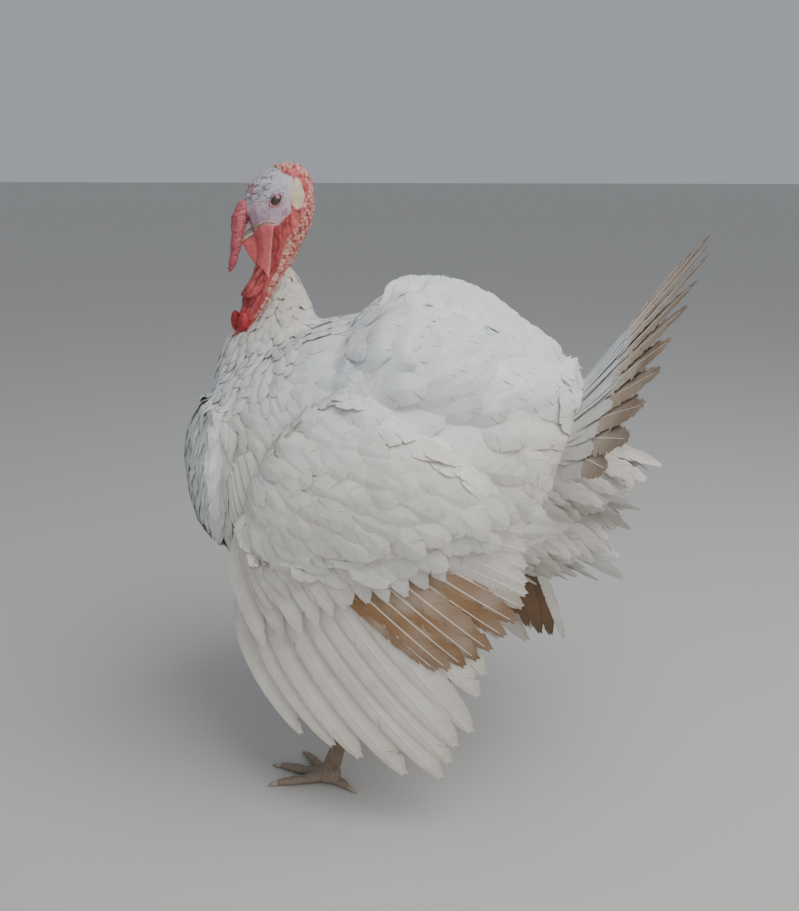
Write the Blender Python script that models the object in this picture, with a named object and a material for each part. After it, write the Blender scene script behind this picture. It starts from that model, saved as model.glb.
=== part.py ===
"""White domestic turkey, an adult tom standing in half strut, life size and still.

Metres, +Z up.  The bird faces -X and its left side faces -Y.  The origin lies on the floor,
under the middle of the bird's overall length and width.
"""
import math

import bmesh
import bpy
import numpy as np
from mathutils import Matrix, Vector
from mathutils.bvhtree import BVHTree

for old in list(bpy.data.objects):
    bpy.data.objects.remove(old, do_unlink=True)

# ---------------------------------------------------------------- driving sizes
GAP = 0.0003              # clearance where two pieces meet
LEFT = -1.0               # sign of Y on the bird's left
RIGHT = 1.0

TRUNK_SIDES = 24
TRUNK_POWER = 2.25        # squareness of the body's cross-section
# station x, top z, bottom z, half width, height of the widest level
TRUNK_STATIONS = (
    (-0.160, 0.428, 0.342, 0.045, 0.384),
    (-0.148, 0.458, 0.312, 0.078, 0.382),
    (-0.126, 0.487, 0.280, 0.106, 0.380),
    (-0.094, 0.512, 0.248, 0.130, 0.378),
    (-0.052, 0.533, 0.219, 0.146, 0.378),
    (-0.002, 0.549, 0.202, 0.154, 0.380),
    (0.050, 0.556, 0.196, 0.156, 0.384),
    (0.105, 0.550, 0.204, 0.152, 0.390),
    (0.150, 0.540, 0.226, 0.142, 0.396),
    (0.190, 0.527, 0.252, 0.128, 0.400),
    (0.228, 0.510, 0.276, 0.108, 0.402),
    (0.260, 0.492, 0.300, 0.084, 0.404),
    (0.284, 0.474, 0.330, 0.056, 0.408),
)
TRUNK_NOSE = (-0.1610, 0.0, 0.384)
TRUNK_RUMP = (0.300, 0.0, 0.408)

MANTLE_X = (0.032, 0.262)        # where the raised back feathers begin and end
MANTLE_RISE = 0.034               # how far they stand over the back
MANTLE_ROWS = 3
MANTLE_LOBES = 6
MANTLE_SPAN = math.radians(62.0)  # how far down each side they reach
MANTLE_STEP = 0.0065              # height of the step at each row's edge

HEAD_AT = (-0.070, 0.000, 0.665)
HEAD_YAW = math.radians(18.0)     # the face is turned a little to the bird's left
NECK_TURN = (0.530, 0.620)        # heights between which the neck takes up that turn
HEAD_SIDES = 14
# height, front, back, half width, in the head's own frame
HEAD_SECTIONS = (
    (0.7055, -0.0030, -0.0300, 0.0100),
    (0.6990, 0.0110, -0.0380, 0.0168),
    (0.6880, 0.0232, -0.0420, 0.0212),
    (0.6740, 0.0298, -0.0434, 0.0234),
    (0.6600, 0.0300, -0.0428, 0.0240),
    (0.6460, 0.0250, -0.0390, 0.0236),
    (0.6320, 0.0196, -0.0320, 0.0220),
    (0.6180, 0.0180, -0.0240, 0.0205),
    (0.6020, 0.0208, -0.0172, 0.0198),
    (0.5850, 0.0275, -0.0130, 0.0202),
    (0.5700, 0.0360, -0.0100, 0.0210),
    (0.5480, 0.0420, -0.0050, 0.0208),
    (0.5150, 0.0400, -0.0000, 0.0185),
)
HEAD_CROWN = (0.7083, -0.0170)

EYE_RADIUS = 0.0082
EYE_AT = (-0.0042, 0.0178, 0.6716)     # front, side, height
BILL_WIDTH = 0.0165
SNOOD_WIDTH = 0.0165

NECK_SIDES = 16
# front x, front z, back x, back z, half width of the feathered neck
NECK_RINGS = (
    (-0.150, 0.428, 0.015, 0.440, 0.083),
    (-0.1475, 0.460, -0.004, 0.475, 0.074),
    (-0.1440, 0.488, -0.017, 0.518, 0.060),
    (-0.1370, 0.508, -0.029, 0.560, 0.047),
    (-0.1300, 0.522, -0.044, 0.592, 0.037),
    (-0.1230, 0.526, -0.053, 0.606, 0.029),
)
NECK_SWEEP = 2.6          # the feathers climb the nape and leave the throat bare

WING_W0 = 0.171           # distance of the folded wing's face from the middle plane
WING_FRONT_BEND = 0.020
WING_REAR_BEND = 0.030
WING_TOP_BEND = 0.022
FLIGHT_THICK = 0.0024
FLIGHT_SHINGLE = 0.0011
RIGHT_WING_TURN = math.radians(9.0)    # the right wing is held a little further back
RIGHT_WING_SHIFT = (0.018, -0.014)
SHOULDER_PIVOT = (0.0, 0.42)
SHOULDER_BULGE = 0.016

TAIL_BASE = (0.236, 0.0, 0.420)
TAIL_RISE = math.radians(58.5)
TAIL_SPREAD = math.radians(73.0)
TAIL_ROOF = -0.20         # the side feathers droop like a roof
TAIL_FEATHERS = 18
TAIL_LENGTH = 0.258
TAIL_SIDE_LENGTH = 0.196

FOOT_LEFT = (0.002, -0.079)
FOOT_RIGHT = (0.101, 0.072)
SHANK_LEAN = (0.044, 0.004)       # the hock lies this far behind the foot
HOCK_Z = 0.150
TOE_SEAT = 0.72           # height of a toe's axis over the floor, in toe radii
TOE_TIP_RADIUS = 0.0052
CLAW_LENGTH = 0.015


# ---------------------------------------------------------------- materials
def material(name, colour, rough):
    mat = bpy.data.materials.new(name)
    mat.use_nodes = True
    shader = mat.node_tree.nodes["Principled BSDF"]
    shader.inputs["Base Color"].default_value = (*colour, 1.0)
    shader.inputs["Roughness"].default_value = rough
    mat.diffuse_color = (*colour, 1.0)
    return mat


WHITE = (0.80, 0.79, 0.75)
STAINED = (0.58, 0.47, 0.36)
RED = (0.62, 0.10, 0.09)


# ---------------------------------------------------------------- helpers
def spline(points):
    """A smooth curve through a few points, called with 0..1."""
    pts = np.array(points, float)
    last = len(pts) - 1

    def at(t):
        u = min(max(t, 0.0), 1.0) * last
        i = min(int(u), last - 1)
        f = u - i
        p0 = pts[max(i - 1, 0)]
        p1 = pts[i]
        p2 = pts[i + 1]
        p3 = pts[min(i + 2, last)]
        a = 2.0 * p1
        b = (p2 - p0) * f
        c = (2.0 * p0 - 5.0 * p1 + 4.0 * p2 - p3) * f * f
        d = (3.0 * p1 - p0 - 3.0 * p2 + p3) * f ** 3
        return 0.5 * (a + b + c + d)

    return at


def smooth(edge0, edge1, value):
    t = min(max((value - edge0) / (edge1 - edge0), 0.0), 1.0)
    return t * t * (3.0 - 2.0 * t)


def power_pair(angle, power):
    """Cosine and sine of a squarer circle."""
    c = math.cos(angle)
    s = math.sin(angle)
    return (math.copysign(abs(c) ** (2.0 / power), c), math.copysign(abs(s) ** (2.0 / power), s))


WHOLE = {}     # each piece's shape before anything is cut from it


def make_object(name, verts, faces, mat):
    mesh = bpy.data.meshes.new(name)
    mesh.from_pydata([tuple(v) for v in verts], [], faces)
    mesh.validate()
    bm = bmesh.new()
    bm.from_mesh(mesh)
    bmesh.ops.recalc_face_normals(bm, faces=bm.faces)
    bm.to_mesh(mesh)
    bm.free()
    mesh.materials.append(mat)
    WHOLE[name] = mesh.copy()
    obj = bpy.data.objects.new(name, mesh)
    bpy.context.scene.collection.objects.link(obj)
    return obj


def loft(name, rings, mat, start=None, end=None):
    """Skin a list of rings; start and end close it in a point instead of a flat cap."""
    n = len(rings[0])
    verts = [p for ring in rings for p in ring]
    faces = []
    for r in range(len(rings) - 1):
        for k in range(n):
            a = r * n + k
            b = r * n + (k + 1) % n
            faces.append((a, b, b + n, a + n))
    for ring_start, tip in ((0, start), ((len(rings) - 1) * n, end)):
        if tip is None:
            tip = np.mean(np.array(verts[ring_start:ring_start + n]), axis=0)
        verts.append(tip)
        centre = len(verts) - 1
        for k in range(n):
            faces.append((ring_start + k, ring_start + (k + 1) % n, centre))
    return make_object(name, verts, faces, mat)


def tube_rings(path, radii, sides, up=(0.0, 0.0, 1.0), squash=1.0, floor=None):
    """Rings along a path; squash widens them across, floor flattens the underside."""
    path = np.array(path, float)
    rings = []
    for i, centre in enumerate(path):
        ahead = path[min(i + 1, len(path) - 1)]
        behind = path[max(i - 1, 0)]
        t = ahead - behind
        t /= np.linalg.norm(t)
        side = np.cross(t, np.array(up, float))
        side /= np.linalg.norm(side)
        lift = np.cross(side, t)
        ring = []
        for k in range(sides):
            a = 2.0 * math.pi * k / sides
            p = centre + side * math.cos(a) * radii[i] * squash + lift * math.sin(a) * radii[i]
            if floor is not None:
                p[2] = max(p[2], floor)
            ring.append(p)
        rings.append(ring)
    return rings


BROAD_TIP = (0.0, 0.27, 0.73, 1.0)
POINTED_TIP = (0.0, 0.5, 1.0)
EVEN_SIX = (0.0, 0.2, 0.4, 0.6, 0.8, 1.0)


def fan_sheet(name, mat, mid, outward, count, stops, rows, thick, shingle, notch, power):
    """Overlapping feathers as one sheet.

    mid(s, t) gives the under face, s across the feathers and t along them; outward(s, t) gives
    the direction of the thickness.  Each feather ends in a rounded finger and lies over the next;
    stops are the places across one feather that carry points.
    """
    cols = len(stops) - 1
    index = {}
    verts = []

    def vertex(i, k, r, face):
        if k == cols and i < count - 1 and (face == 0 or r in (0, rows)):
            i, k = i + 1, 0
        key = (i, k, r, face)
        if key not in index:
            u = stops[k]
            s = (i + u) / count
            reach = 1.0 - notch * abs(2.0 * u - 1.0) ** power
            t = reach * r / rows
            p = np.array(mid(s, t), float)
            if face == 1:
                rise = 0.0 if r in (0, rows) else shingle * (1.0 - u)
                p = p + np.array(outward(s, t), float) * (thick + rise)
            index[key] = len(verts)
            verts.append(p)
        return index[key]

    faces = []

    def face_of(*keys):
        loop = []
        for key in keys:
            v = vertex(*key)
            if v not in loop:
                loop.append(v)
        if len(loop) > 2:
            faces.append(loop)

    for i in range(count):
        for k in range(cols):
            for r in range(rows):
                face_of((i, k, r, 1), (i, k + 1, r, 1), (i, k + 1, r + 1, 1), (i, k, r + 1, 1))
                face_of((i, k, r, 0), (i, k, r + 1, 0), (i, k + 1, r + 1, 0), (i, k + 1, r, 0))
            face_of((i, k, 0, 1), (i, k, 0, 0), (i, k + 1, 0, 0), (i, k + 1, 0, 1))
            face_of((i, k, rows, 1), (i, k + 1, rows, 1), (i, k + 1, rows, 0), (i, k, rows, 0))
        for r in range(rows):
            if i == 0:
                face_of((i, 0, r, 1), (i, 0, r + 1, 1), (i, 0, r + 1, 0), (i, 0, r, 0))
            if i == count - 1:
                face_of((i, cols, r, 1), (i, cols, r, 0), (i, cols, r + 1, 0), (i, cols, r + 1, 1))
            else:
                face_of((i, cols, r, 1), (i + 1, 0, r, 1), (i + 1, 0, r + 1, 1), (i, cols, r + 1, 1))
    return make_object(name, verts, faces, mat)


def shell(name, outer, inner, mat):
    """Close the space between two grids of points of the same shape."""
    m = len(outer)
    w = len(outer[0])
    off = m * w
    verts = [p for row in outer for p in row] + [p for row in inner for p in row]
    faces = []
    for i in range(m - 1):
        for r in range(w - 1):
            a = i * w + r
            faces.append((a, a + 1, a + w + 1, a + w))
            faces.append((off + a, off + a + w, off + a + w + 1, off + a + 1))
        for a in (i * w, i * w + w - 1):
            faces.append((a, a + w, off + a + w, off + a))
    for r in range(w - 1):
        for a in (r, (m - 1) * w + r):
            faces.append((a, off + a, off + a + 1, a + 1))
    return make_object(name, verts, faces, mat)


def grown_copy(name, distance):
    """A cutter: the whole shape of a piece, grown by the clearance."""
    bm = bmesh.new()
    bm.from_mesh(WHOLE[name])
    bmesh.ops.recalc_face_normals(bm, faces=bm.faces)
    bm.normal_update()
    moves = [v.normal * distance * min(v.calc_shell_factor(), 2.5) for v in bm.verts]
    for v, move in zip(bm.verts, moves):
        v.co += move
    mesh = bpy.data.meshes.new("cutter")
    bm.to_mesh(mesh)
    bm.free()
    cutter = bpy.data.objects.new("cutter", mesh)
    bpy.context.scene.collection.objects.link(cutter)
    cutter.hide_render = True
    cutter.display_type = "WIRE"
    return cutter


def keep_largest(bm):
    """Drop the loose scraps that a cut leaves behind."""
    left = set(bm.verts)
    islands = []
    while left:
        seed = left.pop()
        island = {seed}
        front = [seed]
        while front:
            v = front.pop()
            for edge in v.link_edges:
                other = edge.other_vert(v)
                if other not in island:
                    island.add(other)
                    front.append(other)
        left -= island
        islands.append(island)
    sizes = []
    for island in islands:
        area = sum(f.calc_area() for f in bm.faces if f.verts[0] in island)
        sizes.append(area)
    keep = islands[int(np.argmax(sizes))]
    bmesh.ops.delete(bm, geom=[v for v in bm.verts if v not in keep], context="VERTS")


def combine(obj, other, operation):
    mod = obj.modifiers.new("cut", "BOOLEAN")
    mod.operation = operation
    mod.solver = "EXACT"
    mod.object = other
    graph = bpy.context.evaluated_depsgraph_get()
    mesh = bpy.data.meshes.new_from_object(obj.evaluated_get(graph))
    obj.modifiers.remove(mod)
    bm = bmesh.new()
    bm.from_mesh(mesh)
    bmesh.ops.remove_doubles(bm, verts=bm.verts, dist=0.00002)
    bmesh.ops.dissolve_degenerate(bm, edges=bm.edges, dist=0.00002)
    keep_largest(bm)
    bm.to_mesh(mesh)
    bm.free()
    obj.data = mesh
    bpy.data.objects.remove(other, do_unlink=True)


def clear_of(obj, *neighbours, gap=GAP):
    """Cut each neighbour's shape, and the clearance, out of a piece."""
    for neighbour in neighbours:
        combine(obj, grown_copy(neighbour if isinstance(neighbour, str) else neighbour.name, gap),
                "DIFFERENCE")


# ---------------------------------------------------------------- trunk
feather_white = material("feather_white", WHITE, 0.85)
feather_stained = material("feather_stained", STAINED, 0.88)


def trunk_ring(x, top, bottom, half, level, grow=0.0):
    ring = []
    for k in range(TRUNK_SIDES):
        c, s = power_pair(2.0 * math.pi * (k + 0.5) / TRUNK_SIDES, TRUNK_POWER)
        reach = (top - level) if s > 0.0 else (level - bottom)
        ring.append((x, c * (half + grow), level + s * (reach + grow)))
    return ring


trunk = loft("trunk", [trunk_ring(*station) for station in TRUNK_STATIONS], feather_white,
             start=TRUNK_NOSE, end=TRUNK_RUMP)


def trunk_station(x):
    """Top, bottom, half width and widest level of the trunk at any x."""
    table = np.array(TRUNK_STATIONS)
    return [float(np.interp(x, table[:, 0], table[:, c])) for c in (1, 2, 3, 4)]


# ---------------------------------------------------------------- raised feathers of the back
def mantle_point(x, angle, over):
    """A point over the back: angle 0 is the ridge, over is its distance from the trunk."""
    top, bottom, half, level = trunk_station(x)
    c, s = power_pair(math.pi / 2.0 + angle, TRUNK_POWER)
    return (x, c * (half + over), level + s * (top - level + over))


def build_mantle():
    across = MANTLE_LOBES * 2
    x0, x1 = MANTLE_X
    outer = []
    inner = []
    for row in range(MANTLE_ROWS):
        for part in (0.0, 0.55, 1.0):
            f = (row + 0.96 * part) / MANTLE_ROWS
            high = []
            low = []
            for k in range(across + 1):
                w = 2.0 * k / across - 1.0
                lobe = (k + row) % 2
                x = x0 + (x1 - x0) * f
                swell = smooth(-0.10, 0.22, f) * (1.0 - 0.80 * smooth(0.30, 1.0, f))
                rise = MANTLE_RISE * swell * (1.0 - 0.55 * w * w) + MANTLE_STEP * part
                over = rise * (1.0 - w ** 6) - 0.002 * w ** 6
                high.append(mantle_point(x + 0.009 * lobe * part * (1.0 - w ** 4), w * MANTLE_SPAN, over))
                low.append(mantle_point(x, w * MANTLE_SPAN, -0.012))
            outer.append(high)
            inner.append(low)
    return shell("mantle", outer, inner, feather_white)


mantle = build_mantle()
clear_of(mantle, trunk, gap=2.0 * GAP)


# ---------------------------------------------------------------- head and bare neck
def turn_at(z):
    return HEAD_YAW * smooth(NECK_TURN[0], NECK_TURN[1], z)


def head_point(front, side, z):
    """Front, left side and height in the head's frame, given in the bird's frame."""
    yaw = turn_at(z)
    x = HEAD_AT[0] - front * math.cos(yaw) + side * math.sin(yaw)
    y = HEAD_AT[1] - front * math.sin(yaw) - side * math.cos(yaw)
    return np.array((x, y, z))


head_skin = material("head_skin", (0.66, 0.55, 0.62), 0.55)
rings = []
for z, front, back, half in HEAD_SECTIONS:
    ring = []
    for k in range(HEAD_SIDES):
        c, s = power_pair(2.0 * math.pi * k / HEAD_SIDES, 2.2)
        mid = 0.5 * (front + back)
        ring.append(head_point(mid + c * (front - back) / 2.0, s * half, z))
    rings.append(ring)
head = loft("head", rings, head_skin, start=head_point(HEAD_CROWN[1], 0.0, HEAD_CROWN[0]))

# feathered neck
rings = []
for fx, fz, bx, bz, half in NECK_RINGS:
    ring = []
    for k in range(NECK_SIDES):
        c, s = power_pair(2.0 * math.pi * k / NECK_SIDES, 2.1)
        t = 0.5 - 0.5 * c
        ring.append((fx + (bx - fx) * t, s * half, fz + (bz - fz) * t ** NECK_SWEEP))
    rings.append(ring)
neck = loft("neck", rings, feather_white)
clear_of(neck, trunk, mantle)
clear_of(head, neck)

# long hanging feathers of the breast
BREAST_FROM = (-0.040, 0.0, 0.385)
BREAST_TURN = math.radians(64.0)
BREAST_TOP = math.radians(33.0)
BREAST_FOOT = math.radians(-38.0)
trunk_tree = BVHTree.FromObject(trunk, bpy.context.evaluated_depsgraph_get())


def breast_direction(s, t):
    turn = BREAST_TURN * (2.0 * s - 1.0)
    foot = BREAST_FOOT * (1.0 - 0.25 * (2.0 * s - 1.0) ** 2)
    rise = BREAST_TOP + (foot - BREAST_TOP) * t
    return Vector((-math.cos(turn) * math.cos(rise), math.sin(turn) * math.cos(rise), math.sin(rise)))


def breast_mid(s, t):
    d = breast_direction(s, t)
    hit = trunk_tree.ray_cast(Vector(BREAST_FROM), d)[0]
    return np.array(hit + d * (0.0058 + 0.0010 * t * t))


def breast_out(s, t):
    return np.array(breast_direction(s, t))


breast = fan_sheet("breast", feather_white, breast_mid, breast_out, 8, POINTED_TIP, 4, 0.0030, 0.0024,
                   0.20, 2.0)
clear_of(breast, neck)

# eyes sit in sockets cut in the head
eye_brown = material("eye_brown", (0.045, 0.020, 0.014), 0.08)


def build_eye(name, sign):
    front, side, z = EYE_AT
    centre = head_point(front, side * sign, z)
    out = head_point(front, (side + 1.0) * sign, z) - centre
    ahead = head_point(front + 1.0, side * sign, z) - centre
    rings_ = []
    for r in range(1, 6):
        lat = math.pi * r / 6.0
        ring_ = []
        for k in range(8):
            a = 2.0 * math.pi * k / 8.0
            flat = np.array((0.0, 0.0, 1.0)) * math.sin(a) + ahead * math.cos(a)
            ring_.append(centre + EYE_RADIUS * (out * math.cos(lat) + flat * math.sin(lat)))
        rings_.append(ring_)
    return loft(name, rings_, eye_brown, start=centre + out * EYE_RADIUS, end=centre - out * EYE_RADIUS)


eye_left = build_eye("eye_left", 1.0)
eye_right = build_eye("eye_right", -1.0)
clear_of(head, eye_left, eye_right)

# ---------------------------------------------------------------- bill
horn = material("bill_horn", (0.62, 0.52, 0.38), 0.38)


def bill_rings(stations, sides):
    """Stations give front, height of the middle, half width, rise and drop."""
    out = []
    for front, z, half, rise, drop in stations:
        ring_ = []
        for k in range(sides):
            a = 2.0 * math.pi * k / sides
            reach = rise if math.sin(a) > 0.0 else drop
            ring_.append(head_point(front, half * math.cos(a), z + reach * math.sin(a)))
        out.append(ring_)
    return out


HALF_BILL = BILL_WIDTH / 2.0
UPPER_BILL = (
    (0.0140, 0.6490, HALF_BILL * 1.00, 0.0125, 0.0030),
    (0.0250, 0.6430, HALF_BILL * 0.98, 0.0120, 0.0030),
    (0.0330, 0.6385, HALF_BILL * 0.90, 0.0105, 0.0030),
    (0.0400, 0.6340, HALF_BILL * 0.72, 0.0085, 0.0035),
    (0.0455, 0.6290, HALF_BILL * 0.50, 0.0062, 0.0040),
    (0.0485, 0.6240, HALF_BILL * 0.28, 0.0042, 0.0035),
)
LOWER_BILL = (
    (0.0100, 0.6440, HALF_BILL * 0.95, 0.0020, 0.0045),
    (0.0220, 0.6380, HALF_BILL * 0.88, 0.0016, 0.0045),
    (0.0320, 0.6325, HALF_BILL * 0.72, 0.0016, 0.0040),
    (0.0390, 0.6280, HALF_BILL * 0.48, 0.0014, 0.0032),
    (0.0430, 0.6248, HALF_BILL * 0.24, 0.0012, 0.0022),
)
bill_upper = loft("bill_upper", bill_rings(UPPER_BILL, 10), horn, end=head_point(0.0492, 0.0, 0.6195))
bill_lower = loft("bill_lower", bill_rings(LOWER_BILL, 10), horn, end=head_point(0.0445, 0.0, 0.6232))
clear_of(bill_upper, head)
clear_of(bill_lower, head, bill_upper)

# ---------------------------------------------------------------- snood, dewlap, caruncles
red_skin = material("red_skin", RED, 0.42)
snood_path = [head_point(f, s, z) for f, s, z in (
    (0.0230, 0.0020, 0.6700), (0.0310, 0.0055, 0.6640), (0.0365, 0.0100, 0.6520),
    (0.0385, 0.0125, 0.6370), (0.0410, 0.0135, 0.6220), (0.0445, 0.0135, 0.6085),
    (0.0475, 0.0130, 0.5990))]
snood_radii = [SNOOD_WIDTH * f / 2.0 for f in (0.62, 0.92, 1.0, 0.84, 0.64, 0.52, 0.36)]
snood = loft("snood", tube_rings(snood_path, snood_radii, 8, up=(0.95, 0.31, 0.1)), red_skin,
             end=head_point(0.0490, 0.0128, 0.5945))
clear_of(snood, head, bill_upper, bill_lower)


def dewlap_mid(s, t):
    """The web of skin from the lower jaw to the throat, s along the jaw and t downwards."""
    top = spline(((0.0380, 0.6300), (0.0260, 0.6380), (0.0120, 0.6450), (0.0010, 0.6480)))(s)
    low = spline(((0.0330, 0.6230), (0.0240, 0.6060), (0.0130, 0.5960), (0.0060, 0.5870)))(s)
    f, z = top + (low - top) * t
    return head_point(f, -0.0024 + 0.0022 * math.sin(3.0 * s), z)


def dewlap_out(s, t):
    d = head_point(0.0, 1.0, 0.62) - head_point(0.0, 0.0, 0.62)
    return d / np.linalg.norm(d)


dewlap = fan_sheet("dewlap", red_skin, dewlap_mid, dewlap_out, 1, EVEN_SIX, 4, 0.0048, 0.0, 0.0, 2.0)
clear_of(dewlap, head, bill_lower, bill_upper)


def bulb(name, front, side, z, radius, length):
    rings_ = []
    for r in range(1, 5):
        lat = math.pi * r / 5.0
        ring_ = []
        for k in range(8):
            a = 2.0 * math.pi * k / 8.0
            rr = radius * math.sin(lat) * (1.0 + 0.12 * math.cos(lat + 2.6))
            ring_.append(head_point(front + rr * math.cos(a), side + rr * math.sin(a),
                                    z + length * math.cos(lat)))
        rings_.append(ring_)
    return loft(name, rings_, red_skin, start=head_point(front, side, z + length),
                end=head_point(front, side, z - length))


caruncle_front = bulb("caruncle_front", 0.0480, 0.0030, 0.5400, 0.0070, 0.0125)
caruncle_left = bulb("caruncle_left", 0.0320, 0.0200, 0.5400, 0.0084, 0.0135)
caruncle_right = bulb("caruncle_right", 0.0320, -0.0195, 0.5400, 0.0080, 0.0130)
for piece in (caruncle_front, caruncle_left, caruncle_right):
    clear_of(piece, head, neck)


# ---------------------------------------------------------------- wings
def wing_face(x, z):
    """Distance of the folded wing's face from the middle plane."""
    if x < 0.06:
        bend = WING_FRONT_BEND * ((0.06 - x) / 0.12) ** 2
    else:
        bend = WING_REAR_BEND * ((x - 0.06) / 0.16) ** 2
    high = WING_TOP_BEND * (max(0.0, z - 0.36) / 0.10) ** 2
    return WING_W0 - bend - high


def wing_place(x, z, sign):
    """Both wings share one drawing; the right one is turned back about its shoulder."""
    if sign == LEFT:
        return x, z
    px, pz = SHOULDER_PIVOT
    c = math.cos(RIGHT_WING_TURN)
    s = math.sin(RIGHT_WING_TURN)
    dx = x - px
    dz = z - pz
    return px + dx * c - dz * s + RIGHT_WING_SHIFT[0], pz + dz * c + dx * s + RIGHT_WING_SHIFT[1]


def wing_sheet(name, mat, sign, root, tip, count, stops, rows, depth, thick, shingle, notch, power,
               bow=0.0):
    root_at = spline(root)
    tip_at = spline(tip)

    def mid(s, t):
        x, z = root_at(s) + (tip_at(s) - root_at(s)) * t
        x -= bow * math.sin(math.pi * t) * (1.0 - s) ** 1.5
        px, pz = wing_place(x, z, sign)
        return (px, sign * (wing_face(px, pz) + depth), pz)

    def outward(s, t):
        return (0.0, sign, 0.0)

    return fan_sheet(name, mat, mid, outward, count, stops, rows, thick, shingle, notch, power)


PRIMARY_ROOTS = ((-0.072, 0.300), (-0.050, 0.335), (-0.015, 0.362), (0.030, 0.382))
PRIMARY_TIPS = ((-0.010, 0.106), (0.045, 0.090), (0.102, 0.077), (0.150, 0.078), (0.180, 0.125),
                (0.194, 0.200))
RIGHT_PRIMARY_TIPS = ((-0.010, 0.106), (0.045, 0.090), (0.096, 0.086), (0.150, 0.088), (0.190, 0.084),
                      (0.194, 0.200))
PRIMARY_BOW = 0.036
SECONDARY_ROOTS = ((-0.005, 0.350), (0.040, 0.372), (0.085, 0.383), (0.130, 0.388))
SECONDARY_TIPS = ((0.140, 0.212), (0.190, 0.232), (0.226, 0.270), (0.226, 0.330), (0.218, 0.378))
COVERT_ROOTS = ((-0.066, 0.318), (-0.035, 0.364), (0.030, 0.388), (0.120, 0.394))
COVERT_TIPS = ((-0.052, 0.248), (0.010, 0.262), (0.078, 0.292), (0.142, 0.322), (0.196, 0.372))


def build_pad(sign):
    """The rounded shoulder and its small coverts, fixed to the trunk above the flight feathers."""
    upper = spline(((-0.062, 0.345), (-0.055, 0.395), (-0.020, 0.452), (0.040, 0.497),
                    (0.092, 0.474), (0.140, 0.448), (0.178, 0.430)))
    lower = spline(((-0.056, 0.318), (-0.012, 0.320), (0.030, 0.326), (0.078, 0.342),
                    (0.125, 0.362), (0.166, 0.384), (0.190, 0.408)))
    across = 12
    along = 5
    outer = []
    inner = []
    for i in range(across + 1):
        s = i / across
        high_row = []
        low_row = []
        for r in range(along + 1):
            t = r / along
            dip = 0.010 * abs(math.sin(math.pi * s * across / 2.0)) * t
            x, z = upper(s) + (lower(s) - upper(s)) * t
            x += dip
            z -= dip
            px, pz = wing_place(x, z, sign)
            face = wing_face(px, pz)
            along_arch = math.sin(math.pi * s) ** 0.5
            down_arch = math.sin(math.pi * (0.15 + 0.85 * t)) ** 0.7
            bulge = SHOULDER_BULGE * along_arch * down_arch
            high_row.append((px, sign * (face + 0.0062 + bulge), pz))
            high = smooth(0.428, 0.445, z) * math.sin(math.pi * s) ** 0.3
            low_row.append((px, sign * (face + 0.0040 - 0.05 * high), pz))
        outer.append(high_row)
        inner.append(low_row)
    return shell("shoulder_" + ("left" if sign == LEFT else "right"), outer, inner, feather_white)


for side_name, sign in (("left", LEFT), ("right", RIGHT)):
    primary_tips = PRIMARY_TIPS if sign == LEFT else RIGHT_PRIMARY_TIPS
    primaries = wing_sheet("primaries_" + side_name, feather_white, sign, PRIMARY_ROOTS, primary_tips,
                           10, BROAD_TIP, 3, -0.0126, FLIGHT_THICK, FLIGHT_SHINGLE, 0.13, 2.6,
                           bow=PRIMARY_BOW)
    secondaries = wing_sheet("secondaries_" + side_name, feather_stained, sign, SECONDARY_ROOTS,
                             SECONDARY_TIPS, 9, POINTED_TIP, 3, -0.0072, FLIGHT_THICK, FLIGHT_SHINGLE,
                             0.13, 2.2)
    coverts = wing_sheet("wing_coverts_" + side_name, feather_white, sign, COVERT_ROOTS, COVERT_TIPS,
                         11, POINTED_TIP, 2, -0.0010, 0.0030, FLIGHT_SHINGLE, 0.18, 2.2)
    pad = build_pad(sign)
    for piece in (primaries, secondaries, coverts, pad):
        clear_of(piece, trunk)
    clear_of(pad, mantle, gap=8.0 * GAP)

# ---------------------------------------------------------------- tail
TAIL_AXIS = np.array((math.cos(TAIL_RISE), 0.0, math.sin(TAIL_RISE)))
TAIL_UP = np.array((-math.sin(TAIL_RISE), 0.0, math.cos(TAIL_RISE)))


def tail_direction(angle, roof=TAIL_ROOF):
    d = TAIL_AXIS * math.cos(angle) + np.array((0.0, math.sin(angle), 0.0))
    d = d + TAIL_UP * roof * (1.0 - math.cos(angle))
    return d / np.linalg.norm(d)


def tail_normal(angle, roof=TAIL_ROOF):
    step = 0.01
    across = tail_direction(angle + step, roof) - tail_direction(angle - step, roof)
    n = np.cross(tail_direction(angle, roof), across)
    return n / np.linalg.norm(n)


def tail_sheet(name, count, stops, rows, near, far, side_far, spread, lift, thick, shingle, notch, roof):
    base = np.array(TAIL_BASE)

    def angle_of(s):
        return spread * (2.0 * s - 1.0)

    def mid(s, t):
        a = angle_of(s)
        w = abs(2.0 * s - 1.0)
        reach = near + (far + (side_far - far) * w - near) * t
        curl = TAIL_UP * -0.014 * (reach / TAIL_LENGTH) ** 2
        return base + tail_direction(a, roof) * reach + tail_normal(a, roof) * lift + curl

    def outward(s, t):
        return tail_normal(angle_of(s), roof)

    return fan_sheet(name, feather_white, mid, outward, count, stops, rows, thick, shingle, notch, 2.2)


tail = tail_sheet("tail", TAIL_FEATHERS, BROAD_TIP, 2, 0.035, TAIL_LENGTH, TAIL_SIDE_LENGTH, TAIL_SPREAD,
                  0.0, 0.0024, 0.0010, 0.065, TAIL_ROOF)
tail_coverts = tail_sheet("tail_coverts", 6, POINTED_TIP, 2, 0.035, 0.125, 0.112, TAIL_SPREAD * 0.95,
                          0.0075, 0.0080, 0.0016, 0.14, TAIL_ROOF)
clear_of(tail, trunk)
clear_of(tail_coverts, trunk)
clear_of(tail_coverts, mantle, gap=8.0 * GAP)


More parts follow.
